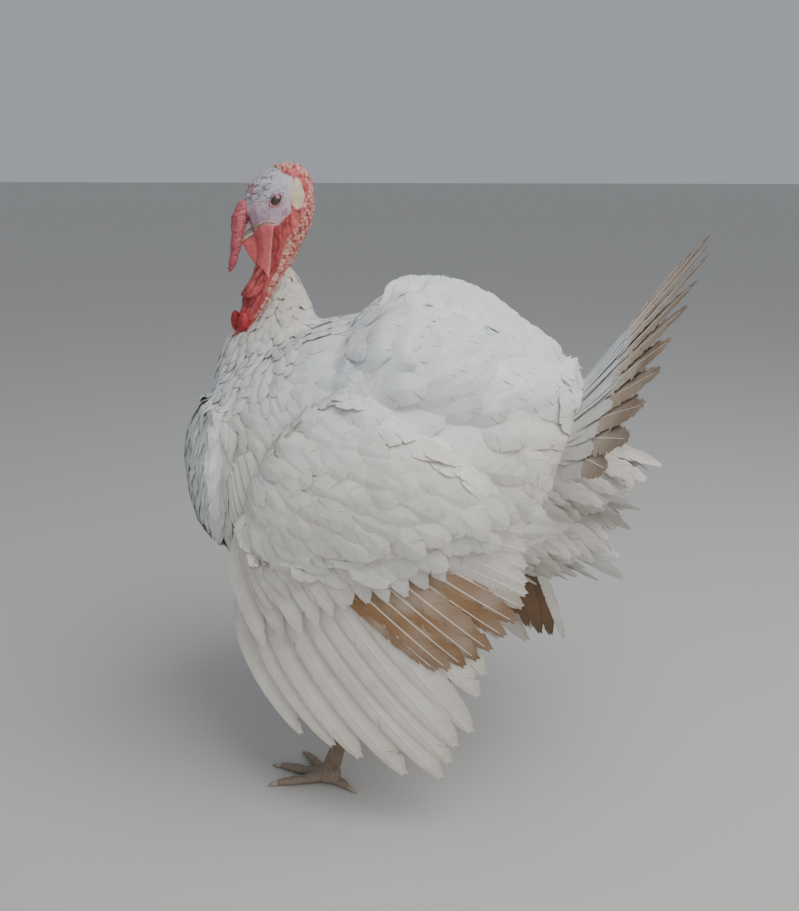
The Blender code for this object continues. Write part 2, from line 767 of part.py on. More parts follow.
def under_sheet(name, count, root_y, tip_y, root_xz, tip_xz, side_tip_xz, thick, notch):
    """A soft mass of feathers hanging back under the tail."""
    def mid(s, t):
        w = 2.0 * s - 1.0
        rx, rz = root_xz
        tx = tip_xz[0] + (side_tip_xz[0] - tip_xz[0]) * w * w
        tz = tip_xz[1] + (side_tip_xz[1] - tip_xz[1]) * w * w
        y = (root_y + (tip_y - root_y) * t) * w
        sag = 0.012 * math.sin(math.pi * t)
        return (rx + (tx - rx) * t, y, rz + (tz - rz) * t - sag)

    def outward(s, t):
        w = 2.0 * s - 1.0
        n = np.array((-0.25, 0.55 * w, -1.0))
        return n / np.linalg.norm(n)

    return fan_sheet(name, feather_white, mid, outward, count, POINTED_TIP, 3, thick, 0.003, notch, 2.2)


undertail = under_sheet("undertail", 6, 0.070, 0.110, (0.225, 0.405), (0.328, 0.392), (0.300, 0.422),
                        0.026, 0.16)
vent = under_sheet("vent", 5, 0.065, 0.085, (0.205, 0.350), (0.302, 0.328), (0.276, 0.356), 0.026, 0.16)
clear_of(undertail, trunk, tail)
clear_of(vent, trunk, undertail, gap=2.0 * GAP)

# ---------------------------------------------------------------- legs
leg_skin = material("leg_skin", (0.42, 0.36, 0.31), 0.6)
claw_horn = material("claw_horn", (0.20, 0.16, 0.13), 0.4)
THIGH_SIDES = 10


def build_leg(side_name, sign, foot, toes):
    fx, fy = foot
    hock = np.array((fx + SHANK_LEAN[0], fy - sign * SHANK_LEAN[1], HOCK_Z))
    ankle = np.array((fx, fy, 0.016))
    hip = np.array((hock[0] + 0.040, hock[1] * 0.95, 0.265))

    thigh_path = [hip, hip * 0.55 + hock * 0.45, hip * 0.22 + hock * 0.78, hock + (0.001, 0.0, 0.004)]
    thigh = loft("thigh_" + side_name, tube_rings(thigh_path, (0.046, 0.036, 0.025, 0.0145),
                                                  THIGH_SIDES, up=(1.0, 0.0, 0.2)), feather_white)
    clear_of(thigh, trunk)

    steps = (0.0, 0.12, 0.40, 0.75, 0.92, 1.0)
    widths = (0.0112, 0.0096, 0.0080, 0.0084, 0.0102, 0.0095)
    shank_path = [hock + (ankle - hock) * f for f in steps]
    shank = loft("shank_" + side_name, tube_rings(shank_path, widths, 8, up=(1.0, 0.0, 0.2), squash=0.9),
                 leg_skin)
    clear_of(shank, thigh)

    pieces = []
    claws = []
    for label, (dx, dy), radius in toes:
        reach = math.hypot(dx, dy)
        d = np.array((dx, dy, 0.0)) / reach
        length = reach - CLAW_LENGTH
        path = []
        radii = []
        for f, fat in ((-0.05, 0.85), (0.12, 1.08), (0.38, 1.02), (0.52, 0.88), (0.70, 0.98), (1.0, 0.68)):
            r = radius + (TOE_TIP_RADIUS - radius) * max(f, 0.0)
            lift = 0.010 * (1.0 - min(max(f, 0.0) / 0.22, 1.0))
            path.append(np.array((fx, fy, r * TOE_SEAT + lift)) + d * length * f)
            radii.append(r * fat)
        pieces.append(loft("toe_" + label, tube_rings(path, radii, 6, floor=0.0), leg_skin))
        base = path[-1]
        knuckle = base + d * CLAW_LENGTH * 0.50
        knuckle[2] = 0.0019
        claw_path = [base - d * 0.004, knuckle]
        tip = base + d * CLAW_LENGTH
        tip[2] = 0.0
        claws.append((label, claw_path, tip))
    pad = loft("pad", tube_rings([(fx + 0.011, fy, 0.0085), (fx + 0.004, fy, 0.0095),
                                  (fx - 0.006, fy, 0.0092), (fx - 0.013, fy, 0.0078)],
                                 (0.0080, 0.0118, 0.0118, 0.0080), 9, floor=0.0006), leg_skin)
    foot_obj = pad
    foot_obj.name = "foot_" + side_name
    for toe in pieces:
        combine(foot_obj, toe, "UNION")
    clear_of(foot_obj, shank)
    for label, claw_path, tip in claws:
        claw = loft("claw_" + label + "_" + side_name,
                    tube_rings(claw_path, (0.0036, 0.0026), 6, floor=0.0), claw_horn, end=tip)
        clear_of(claw, "toe_" + label)

    spur_root = hock + (ankle - hock) * 0.62
    out = np.array((0.86, -sign * 0.50, 0.05))
    out /= np.linalg.norm(out)
    spur_path = [spur_root + out * f for f in (0.002, 0.015)]
    spur = loft("spur_" + side_name, tube_rings(spur_path, (0.0050, 0.0030), 6), claw_horn,
                end=spur_root + out * 0.0235 + (0.0, 0.0, 0.002))
    clear_of(spur, shank)


TOES_LEFT = (("outer", (-0.073, -0.027), 0.0078), ("middle", (-0.080, 0.013), 0.0082),
             ("inner", (-0.052, 0.048), 0.0074), ("hind", (0.038, -0.018), 0.0072))
TOES_RIGHT = (("outer", (-0.068, 0.034), 0.0078), ("middle", (-0.081, -0.006), 0.0082),
              ("inner", (-0.060, -0.042), 0.0074), ("hind", (0.040, 0.008), 0.0072))
build_leg("left", LEFT, FOOT_LEFT, TOES_LEFT)
build_leg("right", RIGHT, FOOT_RIGHT, TOES_RIGHT)

# ---------------------------------------------------------------- origin
corners = np.array([v.co[:] for obj in bpy.data.objects for v in obj.data.vertices])
middle = 0.5 * (corners.min(axis=0) + corners.max(axis=0))
for obj in bpy.data.objects:
    obj.data.transform(Matrix.Translation((-middle[0], -middle[1], -corners[:, 2].min())))
for name in list(WHOLE):
    bpy.data.meshes.remove(WHOLE.pop(name))
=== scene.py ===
"""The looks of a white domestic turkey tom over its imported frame: skin, eyes, bill, legs and plumage.

Metres, +Z up.  The bird faces -X and its left side faces -Y.  Places come from the boxes of the
frame's nodes; sizes of feathers and folds are named where they are used.
"""
import math
from itertools import product

import bpy
import numpy as np
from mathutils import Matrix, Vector
from mathutils.bvhtree import BVHTree


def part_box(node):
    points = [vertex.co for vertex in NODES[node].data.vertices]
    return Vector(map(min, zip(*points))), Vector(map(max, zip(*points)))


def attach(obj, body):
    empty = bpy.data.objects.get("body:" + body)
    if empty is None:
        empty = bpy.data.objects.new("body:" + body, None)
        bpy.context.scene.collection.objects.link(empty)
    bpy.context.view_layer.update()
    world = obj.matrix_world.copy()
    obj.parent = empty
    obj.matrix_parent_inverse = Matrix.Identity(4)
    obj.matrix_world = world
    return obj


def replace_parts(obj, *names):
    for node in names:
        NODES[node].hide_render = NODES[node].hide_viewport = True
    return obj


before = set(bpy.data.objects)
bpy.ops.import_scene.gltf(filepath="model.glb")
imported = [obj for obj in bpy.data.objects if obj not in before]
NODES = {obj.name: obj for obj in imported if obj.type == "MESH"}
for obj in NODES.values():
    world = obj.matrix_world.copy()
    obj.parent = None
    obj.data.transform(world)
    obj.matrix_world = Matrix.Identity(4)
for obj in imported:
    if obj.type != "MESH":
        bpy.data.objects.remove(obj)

bpy.context.view_layer.update()
LEFT = -1.0
RIGHT = 1.0
UP = np.array((0.0, 0.0, 1.0))
CELLS = {"body": (0.006, 0.006), "hull": (0.006, 0.0045), "head": (0.0016, 0.00075),
         "leg": (0.0014, 0.0009), "bill": (0.0008, 0.0005), "claw": (0.0009, 0.0005)}
BULBS = ["caruncle_front", "caruncle_left", "caruncle_right"]
HEAD_NODES = ["head", "neck", "snood", "dewlap", "eye_left", "eye_right"] + BULBS
BODY_NODES = ["trunk", "mantle", "breast", "neck", "thigh_left", "thigh_right", "shoulder_left",
              "shoulder_right"]


# ---------------------------------------------------------------- numbers
def box(node):
    low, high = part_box(node)
    return np.array(low), np.array(high)


def at(node, fx, fy, fz):
    """A point given in fractions of a node's box."""
    low, high = box(node)
    return low + (high - low) * np.array((fx, fy, fz))


def unit(v):
    return v / np.maximum(np.linalg.norm(v, axis=-1, keepdims=True), 1e-9)


def smooth(edge0, edge1, value):
    t = np.clip((value - edge0) / (edge1 - edge0), 0.0, 1.0)
    return t * t * (3.0 - 2.0 * t)


def mix(a, b, share):
    return a + (b - a) * share


def paint(tone, *layers):
    """The tone under layers of colour, each drawn over it by its share at each point."""
    for colour, share in layers:
        tone = mix(tone, colour, share[..., None])
    return tone


def near(value, middle, reach):
    return np.exp(-((value - middle) / reach) ** 2)


def rgb(*colour):
    return np.array(colour, float)


def broken_line(value, places, heights):
    """A line of straight pieces, given in millimetres and asked in metres."""
    return np.interp(value, np.array(places) * 0.001, np.array(heights) * 0.001)


def spline(points, t):
    """Places on a smooth curve through the points, asked by 0..1."""
    pts = np.array(points, float)
    n = len(pts) - 1
    t = np.asarray(t, float) * n
    i = np.clip(np.floor(t).astype(int), 0, n - 1)
    f = (t - i)[..., None]
    p0, p1, p2, p3 = pts[np.maximum(i - 1, 0)], pts[i], pts[i + 1], pts[np.minimum(i + 2, n)]
    return p1 + 0.5 * f * (p2 - p0 + f * (2 * p0 - 5 * p1 + 4 * p2 - p3
                                          + f * (3 * (p1 - p2) + p3 - p0)))


def lattice(cell, seed):
    """A number from 0 to 1 for each cell of a grid."""
    h = cell[..., 0] * 374761393 + cell[..., 1] * 668265263
    h = h + cell[..., 2] * 1442695041 + seed * 974634777
    h = (h ^ (h >> 13)) & 0xFFFFFFFF
    h = (h * 1274126177) & 0xFFFFFFFF
    return ((h ^ (h >> 16)) & 0xFFFFFF) / float(0xFFFFFF)


def noise(points, size, seed=0):
    """Soft noise from 0 to 1 in lumps of that size."""
    q = np.asarray(points, float) / size
    cell = np.floor(q).astype(np.int64)
    f = q - cell
    f = f * f * (3.0 - 2.0 * f)
    total = np.zeros(q.shape[:-1])
    for corner in np.ndindex(2, 2, 2):
        weight = np.prod(np.where(np.array(corner) == 1, f, 1.0 - f), axis=-1)
        total += weight * lattice(cell + np.array(corner), seed)
    return total


def cells(points, size, seed=0):
    """Distance to the nearest seed point of a jittered grid, in cells, and that point's own number."""
    q = np.asarray(points, float) / size
    cell = np.floor(q).astype(np.int64)
    best = np.full(q.shape[:-1], 9.0)
    own = np.zeros(q.shape[:-1])
    for corner in np.ndindex(3, 3, 3):
        spot = cell + np.array(corner) - 1
        jitter = np.stack([lattice(spot, seed + k) for k in (1, 2, 3)], axis=-1)
        d = np.linalg.norm(spot + 0.15 + 0.7 * jitter - q, axis=-1)
        closer = d < best
        best = np.where(closer, d, best)
        own = np.where(closer, jitter[..., 0], own)
    return best, own


# ---------------------------------------------------------------- meshes
def mesh_object(name, verts, faces, mat=None, tone=None, maps=None):
    """One mesh from arrays; faces all have the same number of corners."""
    verts = np.ascontiguousarray(verts, np.float32)
    faces = np.ascontiguousarray(faces, np.int32)
    count, corners = faces.shape
    mesh = bpy.data.meshes.new(name)
    mesh.vertices.add(len(verts))
    mesh.vertices.foreach_set("co", verts.ravel())
    mesh.loops.add(count * corners)
    mesh.loops.foreach_set("vertex_index", faces.ravel())
    mesh.polygons.add(count)
    mesh.polygons.foreach_set("loop_start", np.arange(0, count * corners, corners, dtype=np.int32))
    mesh.polygons.foreach_set("use_smooth", np.ones(count, bool))
    for map_name, uv in (maps or {}).items():
        layer = mesh.uv_layers.new(name=map_name)
        layer.data.foreach_set("uv", np.ascontiguousarray(uv[faces.ravel()], np.float32).ravel())
    mesh.update(calc_edges=True)
    if tone is not None:
        layer = mesh.color_attributes.new("tone", "FLOAT_COLOR", "POINT")
        full = np.ones((len(verts), 4), np.float32)
        full[:, :3] = np.clip(tone, 0.0, 1.0)
        layer.data.foreach_set("color", full.ravel())
    obj = bpy.data.objects.new(name, mesh)
    bpy.context.scene.collection.objects.link(obj)
    if mat is not None:
        mesh.materials.append(mat)
    return obj


def piece(name, verts, faces, mat, tone, maps=None):
    """A mesh that belongs to the bird."""
    obj = mesh_object(name, verts, faces, mat, tone, maps)
    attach(obj, "root")
    return obj


def read(data, attribute, kind, size):
    """One attribute of all of a mesh's points, faces or corners, as rows of an array."""
    values = np.zeros(len(data) * size, kind)
    data.foreach_get(attribute, values)
    return values.reshape(-1, size)


def triangles(mesh):
    mesh.calc_loop_triangles()
    return read(mesh.loop_triangles, "vertices", np.int32, 3)


def gather(nodes):
    """Corner points and triangles of several frame nodes together."""
    verts, tris, base = [], [], 0
    for name in nodes:
        mesh = NODES[name].data
        verts.append(read(mesh.vertices, "co", np.float32, 3))
        tris.append(triangles(mesh) + base)
        base += len(mesh.vertices)
    return np.concatenate(verts), np.concatenate(tris)


def remove(obj):
    data = obj.data
    bpy.data.objects.remove(obj)
    bpy.data.meshes.remove(data)


def taken(obj):
    """An object's points and faces with its modifiers; the object is removed."""
    graph = bpy.context.evaluated_depsgraph_get()
    mesh = bpy.data.meshes.new_from_object(obj.evaluated_get(graph))
    corners = read(mesh.polygons, "loop_total", np.int32, 1)
    if len(corners) and corners.min() == 4 and corners.max() == 4:
        faces = read(mesh.loops, "vertex_index", np.int32, 1).reshape(-1, 4)
    else:
        faces = triangles(mesh)
    verts = read(mesh.vertices, "co", np.float32, 3).astype(float)
    remove(obj)
    bpy.data.meshes.remove(mesh)
    return verts, faces


def wrapped(nodes, kind, rounds):
    """One closed surface round the nodes, in cells of that kind, relaxed for some rounds."""
    obj = mesh_object("work", *gather(nodes))
    remesh = obj.modifiers.new("remesh", "REMESH")
    remesh.mode = "VOXEL"
    remesh.voxel_size = CELLS[kind][1]
    relax = obj.modifiers.new("relax", "SMOOTH")
    relax.factor = 0.5
    relax.iterations = rounds
    return taken(obj)


def normals_of(verts, faces):
    """Outward normals at the points, each face weighted by its area."""
    a, b, c, last = (verts[faces[:, k]] for k in (0, 1, 2, -1))
    n = np.cross(b - a, c - a) if faces.shape[1] == 3 else np.cross(c - a, last - b)
    total = np.zeros_like(verts)
    for k in range(faces.shape[1]):
        for axis in range(3):
            total[:, axis] += np.bincount(faces[:, k], weights=n[:, axis], minlength=len(verts))
    return unit(total)


def tree_of(verts, faces):
    return BVHTree.FromPolygons([tuple(v) for v in verts.tolist()], faces.tolist())


def joined_solids(parts):
    """The union of closed surfaces, as one closed surface."""
    first, *others = [mesh_object("work_%d" % i, *part) for i, part in enumerate(parts)]
    for other in others:
        boolean = first.modifiers.new("join", "BOOLEAN")
        boolean.operation = "UNION"
        boolean.solver = "MANIFOLD"
        boolean.object = other
    result = taken(first)
    for other in others:
        remove(other)
    return result


# ---------------------------------------------------------------- materials
def shader(name, rough, **sockets):
    mat = bpy.data.materials.new(name)
    mat.use_nodes = True
    tree = mat.node_tree
    tree.nodes.clear()
    out = tree.nodes.new("ShaderNodeOutputMaterial")
    bsdf = tree.nodes.new("ShaderNodeBsdfPrincipled")
    tree.links.new(bsdf.outputs[0], out.inputs[0])
    bsdf.inputs["Roughness"].default_value = rough
    for key, value in sockets.items():
        bsdf.inputs[key.replace("_", " ")].default_value = value
    return mat, tree, bsdf


def node(tree, kind, **values):
    made = tree.nodes.new(kind)
    for key, value in values.items():
        if hasattr(made, key):
            setattr(made, key, value)
        else:
            made.inputs[key.replace("_", " ")].default_value = value
    return made


def texture(tree, place, kind, **values):
    made = node(tree, kind, **values)
    tree.links.new(place, made.inputs["Vector"])
    return made


def on_object(tree):
    return node(tree, "ShaderNodeTexCoord").outputs["Object"]


def toned(tree):
    return node(tree, "ShaderNodeAttribute", attribute_name="tone").outputs["Color"]


def mottled(tree, bsdf, scale, low, high, detail=3.0):
    """The mesh's own tone, made a little darker or lighter in soft patches."""
    colour = toned(tree)
    patches = texture(tree, on_object(tree), "ShaderNodeTexNoise", Scale=scale, Detail=detail)
    share = node(tree, "ShaderNodeMapRange", From_Min=0.3, From_Max=0.7, To_Min=low, To_Max=high)
    tree.links.new(patches.outputs["Fac"], share.inputs["Value"])
    scaled = node(tree, "ShaderNodeVectorMath", operation="SCALE")
    tree.links.new(colour, scaled.inputs[0])
    tree.links.new(share.outputs["Result"], scaled.inputs["Scale"])
    tree.links.new(scaled.outputs["Vector"], bsdf.inputs["Base Color"])


def bumped(tree, bsdf, height, distance, strength=1.0, before=None):
    bump = node(tree, "ShaderNodeBump", Strength=strength, Distance=distance)
    tree.links.new(height, bump.inputs["Height"])
    if before is not None:
        tree.links.new(before, bump.inputs["Normal"])
    tree.links.new(bump.outputs["Normal"], bsdf.inputs["Normal"])
    return bump.outputs["Normal"]


def feather_material(name, rough, barb_lines):
    """White vane: the fine barbs run out from the shaft, and soft patches vary the white."""
    mat, tree, bsdf = shader(name, rough, Sheen_Weight=0.12, Sheen_Roughness=0.5)
    mottled(tree, bsdf, 60.0, 0.95, 1.03)
    place = node(tree, "ShaderNodeUVMap", uv_map="vane").outputs["UV"]
    barbs = texture(tree, place, "ShaderNodeTexWave", wave_type="BANDS", bands_direction="X",
                    Scale=barb_lines, Distortion=1.6, Detail=1.0, Detail_Scale=1.5)
    bumped(tree, bsdf, barbs.outputs["Fac"], 0.00012)
    return mat


def skin_material():
    """Bare skin with pores and fine wrinkles."""
    mat, tree, bsdf = shader("bare_skin", 0.46, Subsurface_Weight=0.12, Subsurface_Scale=0.004,
                             Subsurface_Radius=(1.0, 0.32, 0.22))
    mottled(tree, bsdf, 240.0, 0.90, 1.08)
    place = on_object(tree)
    pores = texture(tree, place, "ShaderNodeTexVoronoi", Scale=1100.0)
    creases = texture(tree, place, "ShaderNodeTexNoise", Scale=520.0, Detail=4.0)
    first = bumped(tree, bsdf, pores.outputs["Distance"], 0.00018, 0.5)
    bumped(tree, bsdf, creases.outputs["Fac"], 0.00035, 0.6, before=first)
    return mat


def horn_material():
    """Horn of bill, claws and spurs, with a fine grain."""
    mat, tree, bsdf = shader("pale_horn", 0.36, Coat_Weight=0.15, Coat_Roughness=0.3)
    mottled(tree, bsdf, 420.0, 0.84, 1.10, detail=5.0)
    grain = texture(tree, on_object(tree), "ShaderNodeTexNoise", Scale=900.0, Detail=5.0)
    bumped(tree, bsdf, grain.outputs["Fac"], 0.0002, 0.6)
    return mat


CONTOUR = feather_material("contour_feather", 0.62, 22.0)
FLIGHT = feather_material("flight_feather", 0.50, 70.0)
SKIN = skin_material()
HORN = horn_material()

WARM_WHITE = rgb(0.86, 0.83, 0.77)
# painted sky light: the cool white that tints the top and the front of the plumage
SKY_LIT_WHITE = rgb(0.83, 0.86, 0.875)
CREAM = rgb(0.92, 0.82, 0.69)
SHAFT_CREAM = rgb(0.90, 0.82, 0.68)
DUSTY = rgb(0.52, 0.43, 0.33)
TAN = rgb(0.50, 0.37, 0.25)
STAIN = rgb(0.33, 0.18, 0.075)
EARTH = rgb(0.24, 0.135, 0.065)
# soil brown darkened further as painted shade, for the far wing's hanging feathers
SOIL_AND_SHADE_BROWN = rgb(0.17, 0.105, 0.06)
UNDER_SKIN = rgb(0.85, 0.83, 0.79)
CRANIUM_RED = rgb(0.33, 0.05, 0.06)
CROWN_BLUE = rgb(0.50, 0.49, 0.55)
LILAC = rgb(0.50, 0.36, 0.42)
EAR_CREAM = rgb(0.62, 0.52, 0.37)
BRIGHT_RED = rgb(0.62, 0.125, 0.11)
# painted shade on the red skin: between the neck's folds, behind the dewlap and under the ledge
PAINTED_SHADE_RED = rgb(0.26, 0.020, 0.022)
WATTLE_RED = rgb(0.54, 0.100, 0.100)
DEWLAP_RED = rgb(0.74, 0.165, 0.175)
SNOOD_PINK = rgb(0.46, 0.105, 0.125)
HORN_RIM = rgb(0.66, 0.50, 0.34)
BEAD_CREAM = rgb(0.70, 0.43, 0.33)
BULB_RED = rgb(0.40, 0.030, 0.035)
LEG_BROWN = rgb(0.25, 0.175, 0.115)

# ---------------------------------------------------------------- the head's own frame
EYE_LOW, EYE_HIGH = box("eye_left")
EYE_LEFT = 0.5 * (EYE_LOW + EYE_HIGH)
EYE_RIGHT = 0.5 * sum(box("eye_right"))
EYE_R = 0.5 * (EYE_HIGH[2] - EYE_LOW[2])
BETWEEN = 0.5 * (EYE_LEFT + EYE_RIGHT)
YAW = math.atan2(EYE_LEFT[0] - EYE_RIGHT[0], -(EYE_LEFT[1] - EYE_RIGHT[1]))
TURN_LOW = at("neck", 0, 0, 0.485)[2]      # the neck takes up the head's turn between these heights
TURN_HIGH = at("neck", 0, 0, 1.095)[2]


def head_coordinates(p):
    """Front, left side and height over the eyes, in the frame that turns with the head."""
    yaw = YAW * smooth(TURN_LOW, TURN_HIGH, p[..., 2])
    dx = p[..., 0] - BETWEEN[0]
    dy = p[..., 1] - BETWEEN[1]
    front = -(dx * np.cos(yaw) + dy * np.sin(yaw))
    side = dx * np.sin(yaw) - dy * np.cos(yaw)
    return front, side, p[..., 2] - BETWEEN[2]


# lines in the head's frame, in millimetres in front of and above the middle between the eyes
FACE_REAR_Z = (-60.0, -27.2, -20.6, -10.0, 8.0, 19.7, 23.5, 31.0, 45.0)
FACE_REAR_F = (30.0, 1.0, -7.4, -15.9, -16.5, -18.3, -17.0, -2.0, 10.0)
MOUTH_F = (-20.0, 2.4, 11.9, 21.6, 34.4, 38.8, 60.0)
MOUTH_Z = (-24.6, -24.3, -22.9, -27.5, -39.4, -44.8, -60.0)
RUFF_F = (-60.0, -40.0, -12.0, -4.0, 1.3, 5.4, 8.2, 12.7, 20.3, 30.0, 45.0, 70.0)
RUFF_Z = (-60.0, -62.0, -66.0, -74.0, -82.0, -93.0, -103.0, -113.0, -123.0, -134.0, -140.0, -146.0)
CREST = ((0.4, 33.9), (-17.3, 36.5), (-28.1, 32.6), (-35.9, 20.9), (-40.3, 7.7), (-37.8, -7.0),
         (-33.1, -27.1), (-25.7, -40.7), (-18.3, -52.9), (-8.0, -69.3), (2.0, -84.0), (6.0, -95.0),
         (9.0, -105.0), (14.0, -115.0), (21.0, -124.0))
BUMP_LINE = ((26.0, 12.5), (19.5, 14.5), (11.4, 19.0), (2.0, 25.5), (-5.0, 29.0))
DEWLAP_Z = (-82.0, -73.0, -66.0, -55.0, -45.5, -41.7, -27.0)
DEWLAP_FRONT = (9.9, 15.8, 23.9, 31.6, 38.0, 60.0, 60.0)
DEWLAP_REAR = (9.9, 9.0, 8.5, 7.5, 6.6, 6.2, 2.9)
LEDGE_Z = -0.1025                          # the throat's folds end in a ledge at this height
EYE_TILT = math.radians(42.0)              # the opening of the lids rises to the rear
EYE_LONG = 0.0072
EYE_SHORT = 0.0042
CROWN_FOLDS = (51, 0.0075, 0.0018)         # seed, length and pitch of the forehead's folds
SCALE = 0.0032                             # the round scales of the legs


def bareness(p):
    """Height over the line where the bare skin meets the feathers: above it is bare."""
    f, _, z = head_coordinates(p)
    return z - broken_line(f, RUFF_F, RUFF_Z)


def line_distance(f, z, line):
    pts = spline(np.array(line) * 0.001, np.linspace(0.0, 1.0, 6 * len(line)))
    best = np.full(f.shape, 9.0)
    for a, b in zip(pts[:-1], pts[1:]):
        along = b - a
        k = np.clip(((f - a[0]) * along[0] + (z - a[1]) * along[1]) / (along @ along), 0.0, 1.0)
        best = np.minimum(best, np.hypot(f - a[0] - k * along[0], z - a[1] - k * along[1]))
    return best


def eye_rings(f, s, z):
    """How far out from the opening of the lids, 1 at its edge; 9 away from the sides."""
    u = -f * math.cos(EYE_TILT) + z * math.sin(EYE_TILT)
    v = f * math.sin(EYE_TILT) + z * math.cos(EYE_TILT)
    narrow = EYE_SHORT * (1.0 - 0.22 * np.clip(u / EYE_LONG, -1.0, 1.0) ** 2)
    ring = np.hypot(u / EYE_LONG, v / narrow)
    return np.where(np.abs(s) > 0.009, ring, 9.0)


class Regions:
    """Which part of the head and neck each point belongs to, as soft shares."""

    def __init__(self, p, plain_nodes):
        self.p = p
        f, s, z = self.f, self.s, self.z = head_coordinates(p)
        f2 = f + 0.004 * (noise(p, 0.006, 5) - 0.5)
        z2 = z + 0.004 * (noise(p, 0.006, 6) - 0.5)
        self.snood, self.dewlap, self.bulb = owned(p, plain_nodes)
        self.face = smooth(-0.0007, 0.0007, f2 - broken_line(z2, FACE_REAR_Z, FACE_REAR_F))
        self.face *= smooth(-0.0012, 0.0006, z2 - broken_line(f2, MOUTH_F, MOUTH_Z))
        self.ring = eye_rings(f, s, z)
        self.ear = smooth(1.15, 0.85, np.hypot((f2 + 0.0225) / 0.0068, (z2 - 0.0060) / 0.0160))
        self.ear *= smooth(0.009, 0.013, np.abs(s))
        self.beads = smooth(1.10, 0.80, self.crest_reach()) * (1.0 - self.face)
        self.bumps = smooth(0.0080, 0.0062, line_distance(f2, z2 + 0.0030, BUMP_LINE))
        self.bumps *= smooth(0.016, 0.013, np.abs(s)) * smooth(0.34, 0.46, noise(p, 0.0040, 7))
        for special in (self.snood, self.dewlap, self.bulb):
            for share in (self.beads, self.bumps, self.ear, self.face):
                share *= 1.0 - special
        self.crown = self.face * smooth(-0.008, 0.004, z2 + 0.10 * f)
        self.neck = (1.0 - self.face) * (1.0 - self.ear) * (1.0 - self.snood) * (1.0 - self.bulb)
        self.mouth_and_fold()
        self.strands, self.strand_own = cells(self.strand_space(), 1.0, 21)
        self.lumps, _ = cells(p, 0.0044, 11)
        self.pearls, self.pearl_own = cells(p, 0.0037, 31)
        self.small, self.small_own = cells(p, 0.0029, 41)

    def crest_reach(self):
        """Distance from the line of beads behind the head, 1 at the edge of its band."""
        width = np.interp(self.z, (-0.120, -0.075, -0.045, -0.010, 0.010),
                          (0.0035, 0.0050, 0.0135, 0.0105, 0.0050))
        return (line_distance(self.f, self.z, CREST) + 0.002 * (noise(self.p, 0.005, 8) - 0.5)) / width

    def mouth_and_fold(self):
        """The mouth's line, and the fold that joins the dewlap to the throat."""
        f, z = self.f, self.z
        self.mouth = z - broken_line(f, MOUTH_F, MOUTH_Z)
        self.gape = smooth(0.0008, 0.0030, f) * smooth(0.045, 0.040, f)
        self.gape = self.gape * (1.0 - self.dewlap) * (1.0 - self.snood)
        self.fold_edge = f - broken_line(z, DEWLAP_Z, DEWLAP_REAR)
        ahead = broken_line(z, DEWLAP_Z, DEWLAP_FRONT) - f
        self.fold = smooth(-0.0002, 0.0005, self.fold_edge) * smooth(-0.0004, 0.0008, ahead)
        self.fold *= smooth(-0.0825, -0.080, z) * smooth(-0.0016, -0.0030, self.mouth) * (1.0 - self.snood)

    def strand_space(self):
        """Long caruncles hang down the throat, aslant with the neck."""
        slant = self.f + 0.5 * np.clip(self.z + 0.050, -1.0, 0.0)
        return np.stack([slant / 0.0047, self.s / 0.0047, self.z / 0.0125], -1)


def owned(p, plain_nodes):
    """Whether each point lies nearest to the snood, the dewlap or the caruncles, as 0 or 1."""
    trees = [tree_of(*gather(group)) for group in (plain_nodes, ["snood"], ["dewlap"], BULBS)]
    reach = np.array([[tree.find_nearest(Vector(q))[3] for tree in trees] for q in p])
    owner = reach.argmin(axis=1)
    return [(owner == number).astype(float) for number in (1, 2, 3)]


def wrinkles(p, seed, along, across):
    """Ridges that run level round the head: 0 in the furrows, 1 on the folds."""
    f, s, z = head_coordinates(p)
    q = np.stack([f / along, s / along, (z + 0.22 * f) / across], axis=-1)
    return smooth(0.0, 0.22, np.abs(noise(q, 1.0, seed) - 0.5) * 2.0)


def head_relief(region):
    """How far the skin stands out from the plain form of the head."""
    p, z = region.p, region.z
    throat = region.neck * (1.0 - region.dewlap) * (1.0 - region.fold) * smooth(-0.010, -0.030, z)
    out = 0.0026 * throat * (0.75 - region.strands)
    ledge = smooth(LEDGE_Z + 0.030, LEDGE_Z + 0.001, z) * smooth(LEDGE_Z - 0.0012, LEDGE_Z, z)
    out += 0.0030 * ledge * region.neck * smooth(0.018, 0.030, region.f)
    out += 0.0018 * region.fold * smooth(0.030, 0.0, region.fold_edge)
    for height, middle, reach in ((-0.0006, 0.0, 0.0005), (0.0005, 0.0013, 0.0007),
                                  (0.0004, -0.0013, 0.0007)):
        out += height * region.gape * near(region.mouth, middle, reach)
    out += 0.0009 * region.neck * (1.0 - region.lumps) * smooth(-0.035, -0.010, z)
    out += 0.0024 * region.beads * (1.0 - region.pearls ** 1.5)
    out += 0.0014 * region.bumps * (1.0 - region.small ** 1.5)
    out += 0.00045 * region.ear * (noise(p, 0.0018, 61) - 0.5)
    forehead = region.crown * (1.0 - region.bumps) * smooth(-0.004, 0.010, region.f)
    out += 0.00075 * forehead * (wrinkles(p, *CROWN_FOLDS) - 0.7)
    out += 0.0003 * region.face * (noise(p, 0.0035, 71) - 0.5)
    rounds = wrinkles(p, 81, 0.020, 0.0030)
    out += 0.0013 * region.snood * (rounds - 0.6) + 0.0005 * region.dewlap * (rounds - 0.6)
    lids = np.zeros(len(p))
    for height, middle, reach in ((0.0010, 1.14, 0.12), (0.0005, 1.62, 0.12), (-0.0005, 1.40, 0.10),
                                  (-0.0003, 1.86, 0.12)):
        lids += height * near(region.ring, middle, reach)
    return out + lids * (region.ring < 3.0)


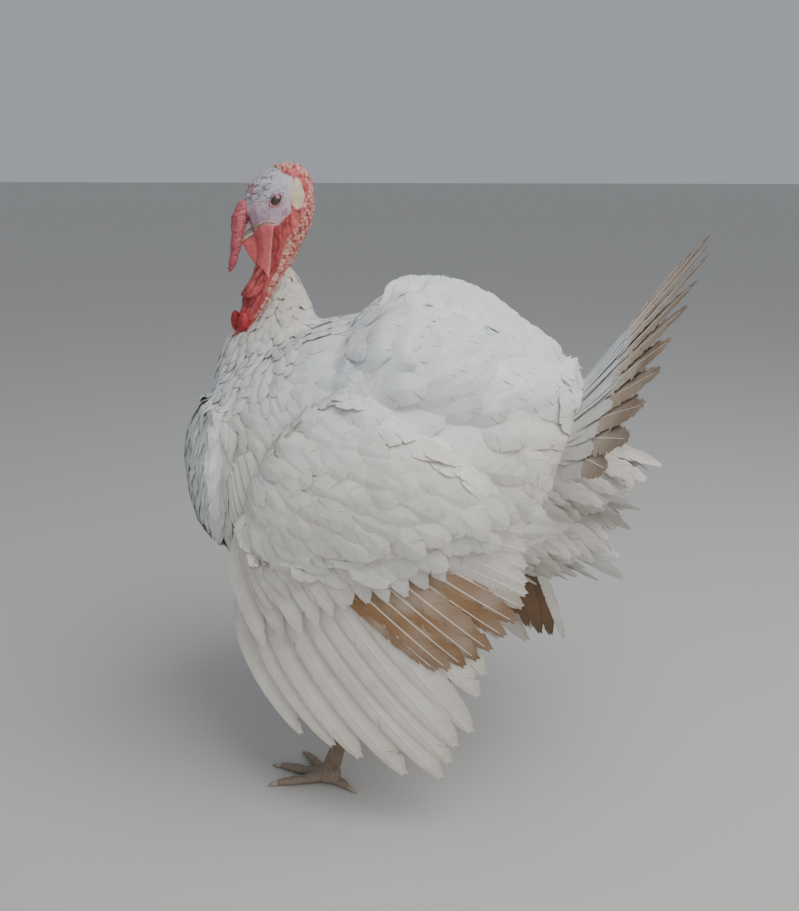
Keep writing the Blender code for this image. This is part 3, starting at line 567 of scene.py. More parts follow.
def neck_tone(region):
    """Red skin of neck and throat, with painted shade between the folds, behind the dewlap and under the
    ledge.
    """
    z, edge = region.z, region.fold_edge
    # The dark red is painted shade: in the gaps between folds and lumps, behind the dewlap and under the
    # ledge.
    gaps = np.where(z < -0.020, region.strands, region.lumps)
    pale = smooth(0.86, 0.98, region.strand_own) * smooth(0.45, 0.25, region.strands)
    behind = 0.55 * smooth(0.016, 0.0, -edge) * smooth(0.0, -0.001, edge) * smooth(-0.085, -0.070, z)
    below = smooth(LEDGE_Z - 0.010, LEDGE_Z - 0.001, z) * smooth(LEDGE_Z, LEDGE_Z - 0.0006, z)
    return paint(WATTLE_RED, (BRIGHT_RED, smooth(-0.055, -0.015, z) * 0.8),
                 (PAINTED_SHADE_RED, smooth(0.42, 0.80, gaps) * 0.9), (BEAD_CREAM, pale * 0.5), (PAINTED_SHADE_RED, behind),
                 (PAINTED_SHADE_RED, 0.8 * below * smooth(0.018, 0.030, region.f)))


def face_tone(region):
    """Lilac below the eye and grey blue above, with painted shade in the furrows of the forehead."""
    p, f = region.p, region.f
    # painted shade: the furrows of the forehead are darkened
    furrow = (1.0 - wrinkles(p, *CROWN_FOLDS)) * region.crown * smooth(-0.012, 0.004, f)
    veins = 0.6 * region.face * (1.0 - region.crown) * smooth(0.66, 0.80, noise(p, 0.0030, 94))
    return paint(LILAC, (CROWN_BLUE, smooth(-0.010, 0.006, region.z + 0.15 * f)),
                 (rgb(0.66, 0.46, 0.50), smooth(0.55, 0.85, noise(p, 0.0055, 93)) * 0.5),
                 (rgb(0.12, 0.11, 0.15), 0.9 * furrow), (rgb(0.34, 0.16, 0.24), veins))


def head_tone(region):
    """The colours of the bare head and neck."""
    shade = noise(region.p, 0.004, 91)[..., None]
    mouth, ring, gape = region.mouth, region.ring, region.gape
    face = face_tone(region)
    fold_rim = near(region.fold_edge, 0.0003, 0.0006)
    fold_rim = fold_rim * smooth(-0.084, -0.078, region.z) * smooth(-0.030, -0.036, region.z)
    # Each bead gets its own tone; in the gaps between the beads the red is darkened as painted shade.
    bead = paint(BEAD_CREAM, (rgb(0.62, 0.22, 0.18), region.pearl_own * 0.9),
                 (rgb(0.38, 0.06, 0.06), smooth(0.42, 0.78, region.pearls)))
    lips = gape * np.maximum(near(mouth, 0.0010, 0.0007), 0.8 * near(mouth, -0.0011, 0.0005))
    bump = paint(CRANIUM_RED, (rgb(0.72, 0.50, 0.48), smooth(0.62, 0.95, region.small_own)))
    bump = paint(bump, (mix(face, rgb(0.50, 0.24, 0.27), 0.6), smooth(0.60, 0.80, region.small)))
    return paint(neck_tone(region) * (0.86 + 0.28 * shade),
                 (DEWLAP_RED * (0.90 + 0.2 * shade), np.maximum(region.dewlap, region.fold)),
                 (BEAD_CREAM, 0.55 * fold_rim * (1.0 - region.snood)), (bead, region.beads),
                 (face, region.face), (HORN_RIM, lips),
                 # painted shade: a near black line in the groove of the mouth
                 (rgb(0.10, 0.03, 0.03), gape * near(mouth, -0.0001, 0.0004)), (bump, region.bumps),
                 (EAR_CREAM * (0.88 + 0.24 * shade), region.ear),
                 (SNOOD_PINK * (0.80 + 0.4 * shade), region.snood),
                 (BULB_RED * (0.85 + 0.3 * shade), region.bulb),
                 (rgb(0.52, 0.12, 0.14), 0.9 * (near(ring, 1.12, 0.17) * (ring < 3.0))),
                 # painted shade: darker lilac in the groove round the lids
                 (rgb(0.42, 0.27, 0.33), 0.7 * near(ring, 1.42, 0.10)))


# ---------------------------------------------------------------- the skin
def head_skin():
    """Bare head and neck; under the feathers the neck draws in to its core."""
    verts, faces = wrapped(HEAD_NODES, "head", 16)
    n = normals_of(verts, faces)
    region = Regions(verts, ["head", "neck"])
    bare = bareness(verts)
    below = smooth(0.002, -0.008, bare)
    verts = verts + n * (head_relief(region) * (1.0 - below))[:, None]
    for centre in (EYE_LEFT, EYE_RIGHT):
        verts = socket_sunk(verts, centre, region.ring)
    deep = smooth(-0.015, -0.040, bareness(verts))
    verts = verts - n * (below * 0.0030)[:, None]
    verts = verts + (at("neck", 0.5, 0.5, 0.25) - verts) * (0.6 * deep)[:, None]
    return verts, faces


def socket_sunk(verts, centre, ring):
    """The skin in the opening of the lids, sunk behind the surface of the eyeball."""
    out = verts - centre
    reach = np.linalg.norm(out, axis=1)
    opened = smooth(1.04, 0.92, ring) * (reach < 1.4 * EYE_R)
    target = centre + out / np.maximum(reach, 1e-6)[:, None] * (EYE_R * 0.72)
    return verts + (target - verts) * opened[:, None]


def leg_skin(side):
    """Scutes down the shank and over the toes; small round scales between."""
    verts, faces = wrapped(["shank_" + side, "foot_" + side], "leg", 4)
    n = normals_of(verts, faces)
    low, high = box("shank_" + side)
    hub = np.array((high[0] * 0.35 + low[0] * 0.65, 0.5 * (low[1] + high[1])))
    reach = np.hypot(verts[:, 0] - hub[0], verts[:, 1] - hub[1])
    on_foot = smooth(0.026, 0.016, verts[:, 2]) > 0.5
    step = np.where(on_foot, reach / 0.0054, verts[:, 2] / 0.0062)
    edge = np.abs((step % 1.0) - 0.5) * 2.0
    scute = smooth(-0.1, 0.35, np.where(on_foot, n[:, 2], -n[:, 0]))
    small, _ = cells(verts, SCALE, 5)
    relief = mix(0.0007 * (1.0 - small), 0.0007 * (1.0 - smooth(0.72, 1.0, edge)), scute)
    floor = smooth(0.0, 0.003, verts[:, 2])
    return verts + n * (relief * floor - 0.0003)[:, None], faces


def body_skin():
    """The plumage's inner form, inside the feathered nodes; thin rims over the wings keep their place."""
    verts, faces = wrapped(BODY_NODES, "body", 6)
    n = normals_of(verts, faces)
    depth = mix(0.0042, 0.0045, smooth(-0.012, 0.004, bareness(verts)))
    depth = np.where(verts[:, 2] < box("thigh_left")[0][2] + 0.03, 0.0018, depth)
    y = verts[:, 1]
    inner_side = smooth(0.2, -0.1, np.sign(y) * n[:, 1]) * smooth(0.108, 0.124, np.abs(y))
    depth = depth * (1.0 - inner_side * (verts[:, 2] > box("shoulder_left")[0][2] - 0.02))
    return verts - n * depth[:, None], faces


def skin_tone(verts):
    """Red, blue and cream head, brown legs, and pale skin under the feathers."""
    tone = np.tile(UNDER_SKIN, (len(verts), 1))
    bare = bareness(verts)
    head = np.where(bare > -0.011)[0]
    region = Regions(verts[head], ["head", "neck", "trunk"])
    tone[head] = paint(tone[head], (head_tone(region), smooth(-0.010, -0.005, bare[head])))
    top = box("shank_left")[1][2]
    small, _ = cells(verts, SCALE, 5)
    # painted shade: the brown is darkened between the round scales
    scaly = paint(LEG_BROWN * (0.75 + 0.45 * noise(verts, 0.009, 7))[:, None],
                  (rgb(0.13, 0.095, 0.07), smooth(0.45, 0.8, small) * 0.6),
                  (rgb(0.36, 0.30, 0.24), smooth(0.03, 0.0, verts[:, 2]) * 0.5))
    return paint(tone, (scaly, smooth(top + 0.006, top - 0.006, verts[:, 2])))


def skin():
    verts, faces = joined_solids([body_skin(), head_skin(), leg_skin("left"), leg_skin("right")])
    obj = piece("turkey_skin", verts, faces, SKIN, skin_tone(verts))
    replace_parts(obj, "trunk", "neck", "head", "snood", "dewlap", "caruncle_front", "caruncle_left",
                "caruncle_right", "thigh_left", "thigh_right", "shank_left", "shank_right",
                "foot_left", "foot_right")


# ---------------------------------------------------------------- eyes, bill, claws
def eyeball(name, centre, side):
    """A dark brown ball with a black pupil, turned out to its side and a little to the front."""
    rings, turns = 40, 64
    a = np.linspace(0.0, math.pi, rings)[:, None]
    b = np.linspace(0.0, 2.0 * math.pi, turns, endpoint=False)[None, :]
    local = np.stack([np.sin(a) * np.cos(b), np.sin(a) * np.sin(b), np.cos(a) * np.ones_like(b)], -1)
    local = local.reshape(-1, 3)
    outward = unit((EYE_LEFT - EYE_RIGHT) * side * LEFT)
    outward = unit(outward + 0.16 * unit(np.cross(outward, UP)) * side)
    across = unit(np.cross(UP, outward))
    up = np.cross(outward, across)
    verts = centre + EYE_R * 0.96 * (local[:, :1] * across + local[:, 1:2] * up + local[:, 2:] * outward)
    start = np.arange(rings - 1)[:, None] * turns
    i = start + np.arange(turns)[None, :]
    j = start + (np.arange(turns)[None, :] + 1) % turns
    faces = np.stack([i, i + turns, j + turns, j], -1).reshape(-1, 4)
    angle = np.degrees(np.arccos(np.clip(local[:, 2], -1.0, 1.0)))
    iris = paint(rgb(0.085, 0.040, 0.026), (rgb(0.035, 0.018, 0.014), smooth(22.0, 40.0, angle)))
    iris = iris * (0.85 + 0.3 * noise(local, 0.13, 3))[:, None]
    tone = paint(rgb(0.006, 0.005, 0.005), (iris, smooth(15.0, 17.5, angle)))
    mat, tree, bsdf = shader(name, 0.20, Coat_Weight=1.0, Coat_Roughness=0.03)
    tree.links.new(toned(tree), bsdf.inputs["Base Color"])
    obj = piece(name, verts, faces, mat, tone)
    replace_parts(obj, "eye_left" if side == LEFT else "eye_right")


def bill_half(name):
    """One half of the bill: pale at the mouth's edge and the tip, with a nostril in the upper half."""
    verts, faces = wrapped([name], "bill", 8)
    n = normals_of(verts, faces)
    f, s, z = head_coordinates(verts)
    nostril = np.hypot((f - 0.0350) / 0.0036, (z + 0.0245 + 0.45 * (f - 0.035)) / 0.0015)
    pit = smooth(1.1, 0.6, nostril) * (np.abs(s) > 0.003) * (name == "bill_upper")
    rings = wrinkles(verts, 17, 0.012, 0.0040)
    verts = verts + n * (0.00030 + 0.0001 * rings - 0.0010 * pit)[:, None]
    rim = smooth(0.0045, 0.0015, np.abs(z - broken_line(f, MOUTH_F, MOUTH_Z)))
    horn = paint(rgb(0.42, 0.31, 0.25), (rgb(0.66, 0.54, 0.38), 0.35 + 0.65 * rim))
    # painted shade: the nostril's pit is painted near black
    tone = paint(LILAC * 0.92, (horn, np.maximum(smooth(0.028, 0.040, f), rim)),
                 (rgb(0.60, 0.50, 0.40), smooth(0.040, 0.052, f)), (rgb(0.05, 0.03, 0.03), pit))
    tone = tone * (0.88 + 0.24 * noise(verts, 0.003, 19))[:, None]
    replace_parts(piece(name + "_horn", verts, faces, HORN, tone), name)


def claws():
    toes = ("outer", "middle", "inner", "hind")
    names = ["claw_%s_%s" % pair for pair in product(toes, ("left", "right"))] + ["spur_left", "spur_right"]
    verts, faces = wrapped(names, "claw", 5)
    dark = smooth(0.35, 0.75, noise(verts, 0.005, 9))
    tone = paint(rgb(0.46, 0.38, 0.29), (rgb(0.26, 0.20, 0.15), dark))
    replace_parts(piece("claws_and_spurs", verts, faces, HORN, tone), *names)


# ---------------------------------------------------------------- where the feathers grow
TRUNK_LOW, TRUNK_HIGH = box("trunk")
TRUNK_MID = 0.5 * (TRUNK_LOW + TRUNK_HIGH)
MANTLE_LOW, MANTLE_HIGH = box("mantle")
SHOULDER_LOW = box("shoulder_left")[0]
THIGH_TOP = box("thigh_left")[1][2]
NECK_FOOT = box("neck")[0][2]
TUFT_PATCH = 0.003                             # a feather's share of the baked texture
BODY_BAND = (0.02, 0.72)                       # where the body's feathers lie in the baked texture
BODY_SHINGLE, WING_SHINGLE, PLUME_SHINGLE = 0.00012, 0.00014, 0.00015     # steps between barb clumps
STRONG_CUP = 9.0                               # how much loose feathers curve down at their sides
EDGE_WARMTH = np.array((0.75, 1.0, 1.45))      # the darker edge of a vane is also browner


class Tracts:
    """Shares of each feather tract at points on the outside of the bird, and what grows there."""

    def __init__(self, p, n):
        self.p = p
        x = (p[:, 0] - TRUNK_LOW[0]) / (TRUNK_HIGH - TRUNK_LOW)[0]
        h = (p[:, 2] - TRUNK_LOW[2]) / (TRUNK_HIGH - TRUNK_LOW)[2]
        self.neck = smooth(NECK_FOOT + 0.004, NECK_FOOT + 0.034, p[:, 2]) * smooth(
            MANTLE_LOW[0] - 0.050, MANTLE_LOW[0] - 0.075, p[:, 0])
        self.mantle = (smooth(MANTLE_LOW[0] - 0.004, MANTLE_LOW[0] + 0.010, p[:, 0])
                       * smooth(MANTLE_LOW[2] - 0.006, MANTLE_LOW[2] + 0.016, p[:, 2]))
        self.breast = smooth(0.26, 0.12, x) * smooth(0.86, 0.70, h) * (1.0 - self.neck)
        self.belly = smooth(-0.35, -0.75, n[:, 2]) * (1.0 - 0.6 * self.breast)
        self.thigh = smooth(THIGH_TOP - 0.005, THIGH_TOP - 0.035, p[:, 2])
        self.shoulder = (smooth(SHOULDER_LOW[0] - 0.004, SHOULDER_LOW[0] + 0.03, p[:, 0])
                         * smooth(SHOULDER_LOW[2] - 0.01, SHOULDER_LOW[2] + 0.02, p[:, 2])
                         * smooth(0.128, 0.146, np.abs(p[:, 1])) * (1.0 - self.mantle))
        self.rump = smooth(0.86, 1.0, x) * (1.0 - self.belly)
        self.flank = (smooth(0.62, 0.78, x) * smooth(0.25, 0.45, np.abs(n[:, 1])) * (1.0 - self.mantle)
                      * (1.0 - self.shoulder) * smooth(THIGH_TOP + 0.01, THIGH_TOP + 0.04, p[:, 2]))
        f, _, z = head_coordinates(p)
        self.flow = self.directions(smooth(0.3, 0.8, n[:, 2]), self.neck * smooth(0.0, 0.030, -f))
        self.length, self.width, self.lift, self.depth = self.sizes(self.neck * smooth(-0.190, -0.080, z))

    def directions(self, on_top, nape):
        """Which way feathers point: each share turns them towards its own way, given for the left side."""
        side = np.sign(self.p[:, 1])
        fan = self.p - at("mantle", -0.10, 0.5, -0.20)
        fan[:, 1] = side * 0.01
        flow = np.zeros_like(self.p)
        for share, way in ((np.ones(len(side)), (0.70, 0.0, -0.60)), (on_top, (1.0, 0.0, -0.15)),
                           (self.breast, (-0.30, 0.10, -1.0)), (self.belly, (1.0, 0.0, -0.10)),
                           (self.neck, (0.10, 0.12, -1.0)), (nape, (0.55, 0.0, -1.0)), (self.mantle, fan),
                           (self.shoulder, (0.86, 0.0, -0.42)), (self.flank, (1.0, 0.04, -0.30)),
                           (self.thigh, (0.22, 0.0, -1.0)), (self.rump, (1.0, 0.0, 0.05))):
            if way is not fan:
                way = np.array(way) * np.stack([np.ones(len(side)), side, np.ones(len(side))], -1)
            flow = paint(flow, (unit(way), share))
        return flow

    def sizes(self, upper_neck):
        """Length, width, lift of the tips and depth of the roots of the feathers there."""
        size = np.tile((0.047, 0.027, 0.0004, 0.0036), (len(self.p), 1))
        for share, goal in ((self.breast, (0.056, 0.0165, 0.0016, 0.0036)),
                            (self.belly, (0.042, 0.024, 0.0005, 0.0032)),
                            (self.rump, (0.060, 0.032, 0.0010, 0.0045)),
                            (self.flank, (0.070, 0.031, 0.0012, 0.0050)),
                            (self.mantle, (0.072, 0.036, 0.0042, 0.0060)),
                            (self.shoulder, (0.044, 0.030, 0.0002, 0.0028)),
                            (self.thigh, (0.026, 0.013, 0.0010, 0.0020)),
                            (self.neck, (0.028, 0.018, 0.0003, 0.0026)),
                            (upper_neck, (0.0135, 0.0100, 0.0001, 0.0013))):
            size = paint(size, (np.array(goal), share))
        return np.ascontiguousarray(size.T)


def scattered(verts, faces, rng, spacing_at):
    """Points spread over a surface, with no two nearer than the spacing there."""
    tri = faces if faces.shape[1] == 3 else np.concatenate([faces[:, [0, 1, 2]], faces[:, [0, 2, 3]]])
    a, b, c = verts[tri[:, 0]], verts[tri[:, 1]], verts[tri[:, 2]]
    n = np.cross(b - a, c - a)
    area = 0.5 * np.linalg.norm(n, axis=1)
    count = int(area.sum() / (0.0042 ** 2))
    pick = rng.choice(len(tri), count, p=area / area.sum())
    r = np.sqrt(rng.random(count))[:, None]
    t = rng.random(count)[:, None]
    p = a[pick] * (1 - r) + b[pick] * (r * (1 - t)) + c[pick] * (r * t)
    normal = unit(n[pick])
    cell = 0.008
    grid = {}
    kept = []

    def clear(q, key, gap):
        around = range(-int(gap / cell) - 1, int(gap / cell) + 2)
        for step in product(around, repeat=3):
            for o in grid.get((key[0] + step[0], key[1] + step[1], key[2] + step[2]), ()):
                if (o[0] - q[0]) ** 2 + (o[1] - q[1]) ** 2 + (o[2] - q[2]) ** 2 < gap * gap:
                    return False
        return True

    for i, (q, gap) in enumerate(zip(p.tolist(), spacing_at(p, normal).tolist())):
        key = tuple(int(value // cell) for value in q)
        if gap > 0.0 and clear(q, key, gap):
            grid.setdefault(key, []).append(q)
            kept.append(i)
    return p[kept], normal[kept]


# ---------------------------------------------------------------- one feather's pattern
def vane_pattern(seed, clumps, sweep, fray, point, near_tip, quill=0.0, splits=1, edge_shade=0.97):
    """Barb clumps on both sides of a shaft, whose ends together make the feather's outline.

    Each corner has a place along the feather, a place across it in half widths, a height in shingle
    steps and a shade.  `point` is how narrow the tip is, `fray` how uneven the clumps' ends are.
    """
    rng = np.random.default_rng(seed)

    def half_width(t):
        rise = 0.30 + 0.70 * smooth(-0.05, 0.45, t)
        return rise * np.power(np.clip(1.0 - np.clip(t, 0, 1) ** near_tip, 0.0, 1.0), point)

    corners, faces = [], []
    step = (1.0 - quill) / clumps
    for side in (-1.0, 1.0):
        gaps = rng.integers(clumps // 3, clumps - 1, splits).tolist()
        for i in range(clumps):
            k = i / (clumps - 1.0)
            root = quill + (0.99 - quill) * k ** 0.95
            tip = min(root + sweep * (1.0 - 0.55 * k), 1.0)
            uneven = fray * rng.normal()
            shrink = 1.0 - 0.22 * gaps.count(i) + 0.035 * uneven
            half = 0.60 * step
            end = half * (1.0 - 0.55 * (i in gaps)) * (1.0 - 0.12 * fray * rng.random())
            light = 1.0 + 0.02 * rng.normal()
            for r in (0.0, 0.5, 1.0):
                t = mix(root, tip, r) + 0.10 * step * uneven * r
                spread = mix(half, end, r)
                for place, shingle in ((t - spread, 0.0), (t + spread, 1.0)):
                    reach = half_width(min(max(place if r == 1.0 else tip, 0.0), 0.995)) * shrink
                    corners.append((min(place, 1.0 + 0.02 * r), side * reach * r ** 0.9, shingle,
                                    light * mix(1.0, edge_shade, r * r)))
                if r:
                    m = len(corners) - 4
                    faces.append((m, m + 2, m + 3, m + 1) if side > 0 else (m, m + 1, m + 3, m + 2))
    for r in range(7):
        t = mix(quill, 0.975, r / 6.0)
        corners += [(t, c * (0.86 * half_width(t)), -0.8, 0.98) for c in (-1.0, 0.0, 1.0)]
        if r:
            m = len(corners) - 6
            faces += [(m, m + 1, m + 4, m + 3), (m + 1, m + 2, m + 5, m + 4)]
    return (*np.array(corners).T, np.array(faces))


def vanes(first_seed, number, *shape, **more):
    return [vane_pattern(first_seed + i, *shape, **more) for i in range(number)]


def shaft_pattern(width, tall, reach=0.97, parts=10):
    """A low ridge along the middle of a feather: places along it, metres across and metres high."""
    corners, faces = [], []
    for i in range(parts + 1):
        t = reach * i / parts
        w = width * (1.0 - 0.75 * t)
        corners += [(t, -w, 0.0), (t, 0.0, tall * (1.0 - 0.6 * t)), (t, w, 0.0)]
        if i:
            m = 3 * (i - 1)
            faces += [(m, m + 3, m + 4, m + 1), (m + 1, m + 4, m + 5, m + 2)]
    return (*np.array(corners).T, np.array(faces))


def sampled(line, place):
    """Values given at stations along each feather, asked at places between them."""
    i = np.clip(np.floor(place).astype(int), 0, line.shape[1] - 2)
    f = (place - i)[None, :, None]
    return line[:, i] * (1 - f) + line[:, i + 1] * f


class Plumage:
    """Collects feathers and turns them into meshes of a bounded size."""

    def __init__(self, name, mat):
        self.name, self.mat, self.parts = name, mat, []

    def keep(self, verts, faces, tones, vane, uv):
        count, corners = verts.shape[:2]
        offset = (np.arange(count) * corners)[:, None, None]
        vane = np.broadcast_to(vane, (count, corners, 2))
        self.parts.append((verts.reshape(-1, 3), (faces[None] + offset).reshape(-1, 4),
                           tones.reshape(-1, 3), vane.reshape(-1, 2), uv.reshape(-1, 2)))

    def plant(self, pattern, lines, half, tone, patch, shingle, cup, lead=1.0, shaft=None):
        """Feathers with one pattern on lines, (centre, across, outward) at the stations of each feather."""
        last = lines[0].shape[1] - 1
        along, cross, height, shade, faces = pattern
        place = np.clip(along, 0.0, 1.04) * last
        centre, side, out = (sampled(line, place) for line in lines)
        side, out = unit(side), unit(out)
        q = cross[None, :, None] * half[:, None, None]
        q = q * np.where(cross > 0, lead, 2.0 - lead)[None, :, None]
        rise = height[None, :, None] * shingle - np.reshape(cup, (-1, 1, 1)) * q * q
        self.keep(centre + side * q + out * rise, faces,
                  sampled(tone, place) * shade[None, :, None] ** EDGE_WARMTH,
                  np.stack([along, 0.5 + 0.5 * cross], -1),
                  patch[:, None] + TUFT_PATCH * np.stack([np.clip(along, 0, 1),
                                                          0.5 + 0.5 * np.clip(cross, -1, 1)], -1))
        if shaft is None:
            return
        along, cross, height, faces = shaft
        centre, side, out = (sampled(line, along * last) for line in lines)
        self.keep(centre + unit(side) * cross[None, :, None] + unit(out) * (height[None, :, None] + 0.0002),
                  faces, mix(sampled(tone, along * last), SHAFT_CREAM, 0.70), 0.5,
                  patch[:, None] + TUFT_PATCH * np.stack([along, np.full(len(along), 0.5)], -1))

    def plant_each(self, patterns, kinds, lines, half, tone, patch, *more, **most):
        """Feathers one by one, each with the pattern of its own kind."""
        for i, kind in enumerate(kinds):
            one = slice(i, i + 1)
            self.plant(patterns[kind % len(patterns)], [line[one] for line in lines], half[one], tone[one],
                       patch[one], *more, **most)

    def finish(self, limit=90000):
        """Meshes of at most `limit` four-cornered faces."""
        batches, size = [[]], 0
        for part in self.parts:
            if size and size + len(part[1]) > limit:
                batches.append([])
                size = 0
            batches[-1].append(part)
            size += len(part[1])
        made = []
        for number, batch in enumerate(batches):
            starts = np.cumsum([0] + [len(part[0]) for part in batch])
            faces = np.concatenate([part[1] + start for part, start in zip(batch, starts)])
            verts, _, tones, vane, uv = (np.concatenate(column) for column in zip(*batch))
            made.append(piece("%s_%d" % (self.name, number + 1), verts, faces, self.mat, tones,
                              {"OFBake": uv, "vane": vane}))
        return made


def unwrap(p, band):
    """Each root's place on an unwrap of the bird: round its long axis, in bands for its parts."""
    turn = np.arctan2(p[..., 1], p[..., 2] - TRUNK_MID[2]) / (2.0 * math.pi) + 0.5
    reach = (p[..., 0] + 0.30) / 0.62
    low, high = band
    return np.stack([0.002 + 0.99 * turn, low + (high - low) * np.clip(reach, 0.0, 1.0)], -1)


def dulling(p):
    """0 clean, 1 where the white is yellowed or dusty in patches; it also grows a little duller towards the
    bottom.
    """
    # a little duller and browner towards the bottom
    low = smooth(0.30, 0.18, p[..., 2])
    spots = smooth(0.66, 0.80, noise(p, 0.016, 201))
    return np.clip(0.10 * low + 0.16 * spots + 0.10 * smooth(0.45, 0.8, noise(p, 0.05, 202)), 0.0, 1.0)


def plumage_tone(p):
    """White: cream down the nape, warm on the wings and behind; the cool tint on the back and breast is
    painted sky light.
    """
    z = head_coordinates(p)[2]
    nape = smooth(-0.200, -0.090, z) * smooth(-0.105, -0.150, p[..., 0])
    # painted sky light: the top and the front of the bird are tinted cool
    high = smooth(TRUNK_MID[2] + 0.06, TRUNK_MID[2] + 0.14, p[..., 2])
    front = smooth(TRUNK_LOW[0] + 0.09, TRUNK_LOW[0] + 0.02, p[..., 0])
    return paint(WARM_WHITE, (SKY_LIT_WHITE, np.maximum(high, front)), (CREAM, 0.85 * nape), (DUSTY, dulling(p)))


def varied(tone, rng):
    """The same tones, a little lighter or darker from feather to feather."""
    return tone * (1.0 + 0.02 * rng.normal(size=(len(tone), 1, 1)))


def followed(tree, start, heading, step, stations, plane):
    """Places and outward directions on the way along a surface.

    A loose feather, which has a `plane` to be square to, runs straight on where the surface turns
    away underneath it.
    """
    q, heading = Vector(start), Vector(heading)
    gone = False
    line, outs = [], []
    for k in range(stations):
        hit, normal, _, _ = tree.find_nearest(q)
        fallen = (hit - q).length > 0.5 * step
        if plane is not None and k and (normal.z < -0.10 or (fallen and normal.z < 0.05)):
            gone = True
        if gone:
            normal = Vector(plane)
            hit = q - normal * (0.15 * step)
        line.append(hit)
        outs.append(normal)
        heading = heading - normal * heading.dot(normal)
        if heading.length < 1e-6:
            heading = Vector((1.0, 0.0, 0.0))
        heading.normalize()
        q = hit + heading * step
    return line, outs


def centre_lines(tree, p, flow, length, depth, lift, curl, loose, stations=7):
    """Lines that start under the surface, come up to it and follow it to the feather's tip."""
    plane = unit(np.stack([np.zeros(len(p)), np.sign(p[:, 1]), np.full(len(p), 0.12)], -1))
    steps = length / (stations - 1)
    both = [followed(tree, p[i], flow[i], steps[i], stations, plane[i] if loose[i] else None)
            for i in range(len(p))]
    line = np.array([one[0] for one in both], float)
    outs = np.array([one[1] for one in both], float)
    t = np.linspace(0.0, 1.0, stations)[None, :, None]
    mean = unit(outs.mean(axis=1, keepdims=True))
    outs = unit(mix(outs, mean, np.where(loose > 0, 0.75, 0.35)[:, None, None]))
    rise = mix(-depth[:, None, None], lift[:, None, None], t)
    tuck = curl - 0.0016 * np.minimum(length / 0.04, 1.9)
    rise = rise + tuck[:, None, None] * smooth(0.62, 1.0, t)
    return line + outs * rise, outs


def crest_rows(coat, tree, patterns, rng):
    """Raised feathers along both sides of the back's ridge, whose tips stand over it like a comb."""
    t = np.linspace(0.0, 1.0, 7)
    down_to = Vector((0.0, 0.0, -1.0))
    for side, (down, over) in product((LEFT, RIGHT), ((0.060, 0.004), (0.040, 0.011))):
        for k, x in enumerate(np.linspace(MANTLE_LOW[0] + 0.030, MANTLE_HIGH[0] - 0.060, 12)):
            x += 0.003 * rng.normal()
            stand = over * float(mix(-0.30, 1.0, smooth(0.0, 4.0, k))) + 0.0025 * rng.normal()
            stand -= 0.006 if side == RIGHT else 0.0
            root = tree.ray_cast(Vector((x, side * down, 1.0)), down_to)
            top = tree.ray_cast(Vector((x + 0.036, 0.0, 1.0)), down_to)
            if root[0] is None or top[0] is None:
                continue
            start = np.array(root[0]) - 0.005 * np.array(root[1])
            end = np.array(top[0]) + np.array((0.0, side * 0.004, stand))
            bulge = unit(np.array((0.10, side * 0.80, 0.60)))
            centre = mix(start, end, t[:, None]) + bulge * (0.010 * (t - t * t) * 4.0)[:, None]
            ahead = np.gradient(centre, axis=0)
            across = unit(np.cross(bulge[None], ahead))
            outs = unit(np.cross(ahead, across))
            across = unit(across + outs * 0.10)
            coat.plant(patterns[k % len(patterns)], (centre[None], across[None], outs[None]),
                       np.full(1, 0.0150), plumage_tone(centre)[None], unwrap(start[None], BODY_BAND),
                       BODY_SHINGLE, STRONG_CUP)



def feather_gap(p, n):
    """How far apart the body's feathers stand; 0 where none grow."""
    tract = Tracts(p, n)
    gap = mix(0.36, 0.30, tract.breast) * np.sqrt(tract.length * tract.width)
    under_wing = (tract.shoulder > 0.3) & (n[:, 2] < -0.12)
    gap = np.where((bareness(p) > 0.001) | under_wing, 0.0, gap)
    x, y, z = np.abs(p[:, 0] + 0.025), np.abs(p[:, 1]), np.abs(p[:, 2] - 0.335)
    behind_wing = (x < 0.125) & (y < 0.150) & (z < 0.125) & (np.abs(n[:, 1]) > 0.5)
    gap = np.where(behind_wing, gap * 1.6, gap)
    return gap * 1.0


def feather_styles(tract, rng):
    """0 a broad feather, 1 a hanging lock, 2 a large one of the back, 3 a loose one."""
    belly = (tract.belly > 0.5) & (rng.random(len(tract.belly)) < 0.5)
    style = np.where((tract.breast > 0.45) | (tract.thigh > 0.5) | belly, 1, 0)
    style = np.where(tract.mantle > 0.5, 2, style)
    return np.where((tract.flank > 0.5) | (tract.rump > 0.5), 3, style)


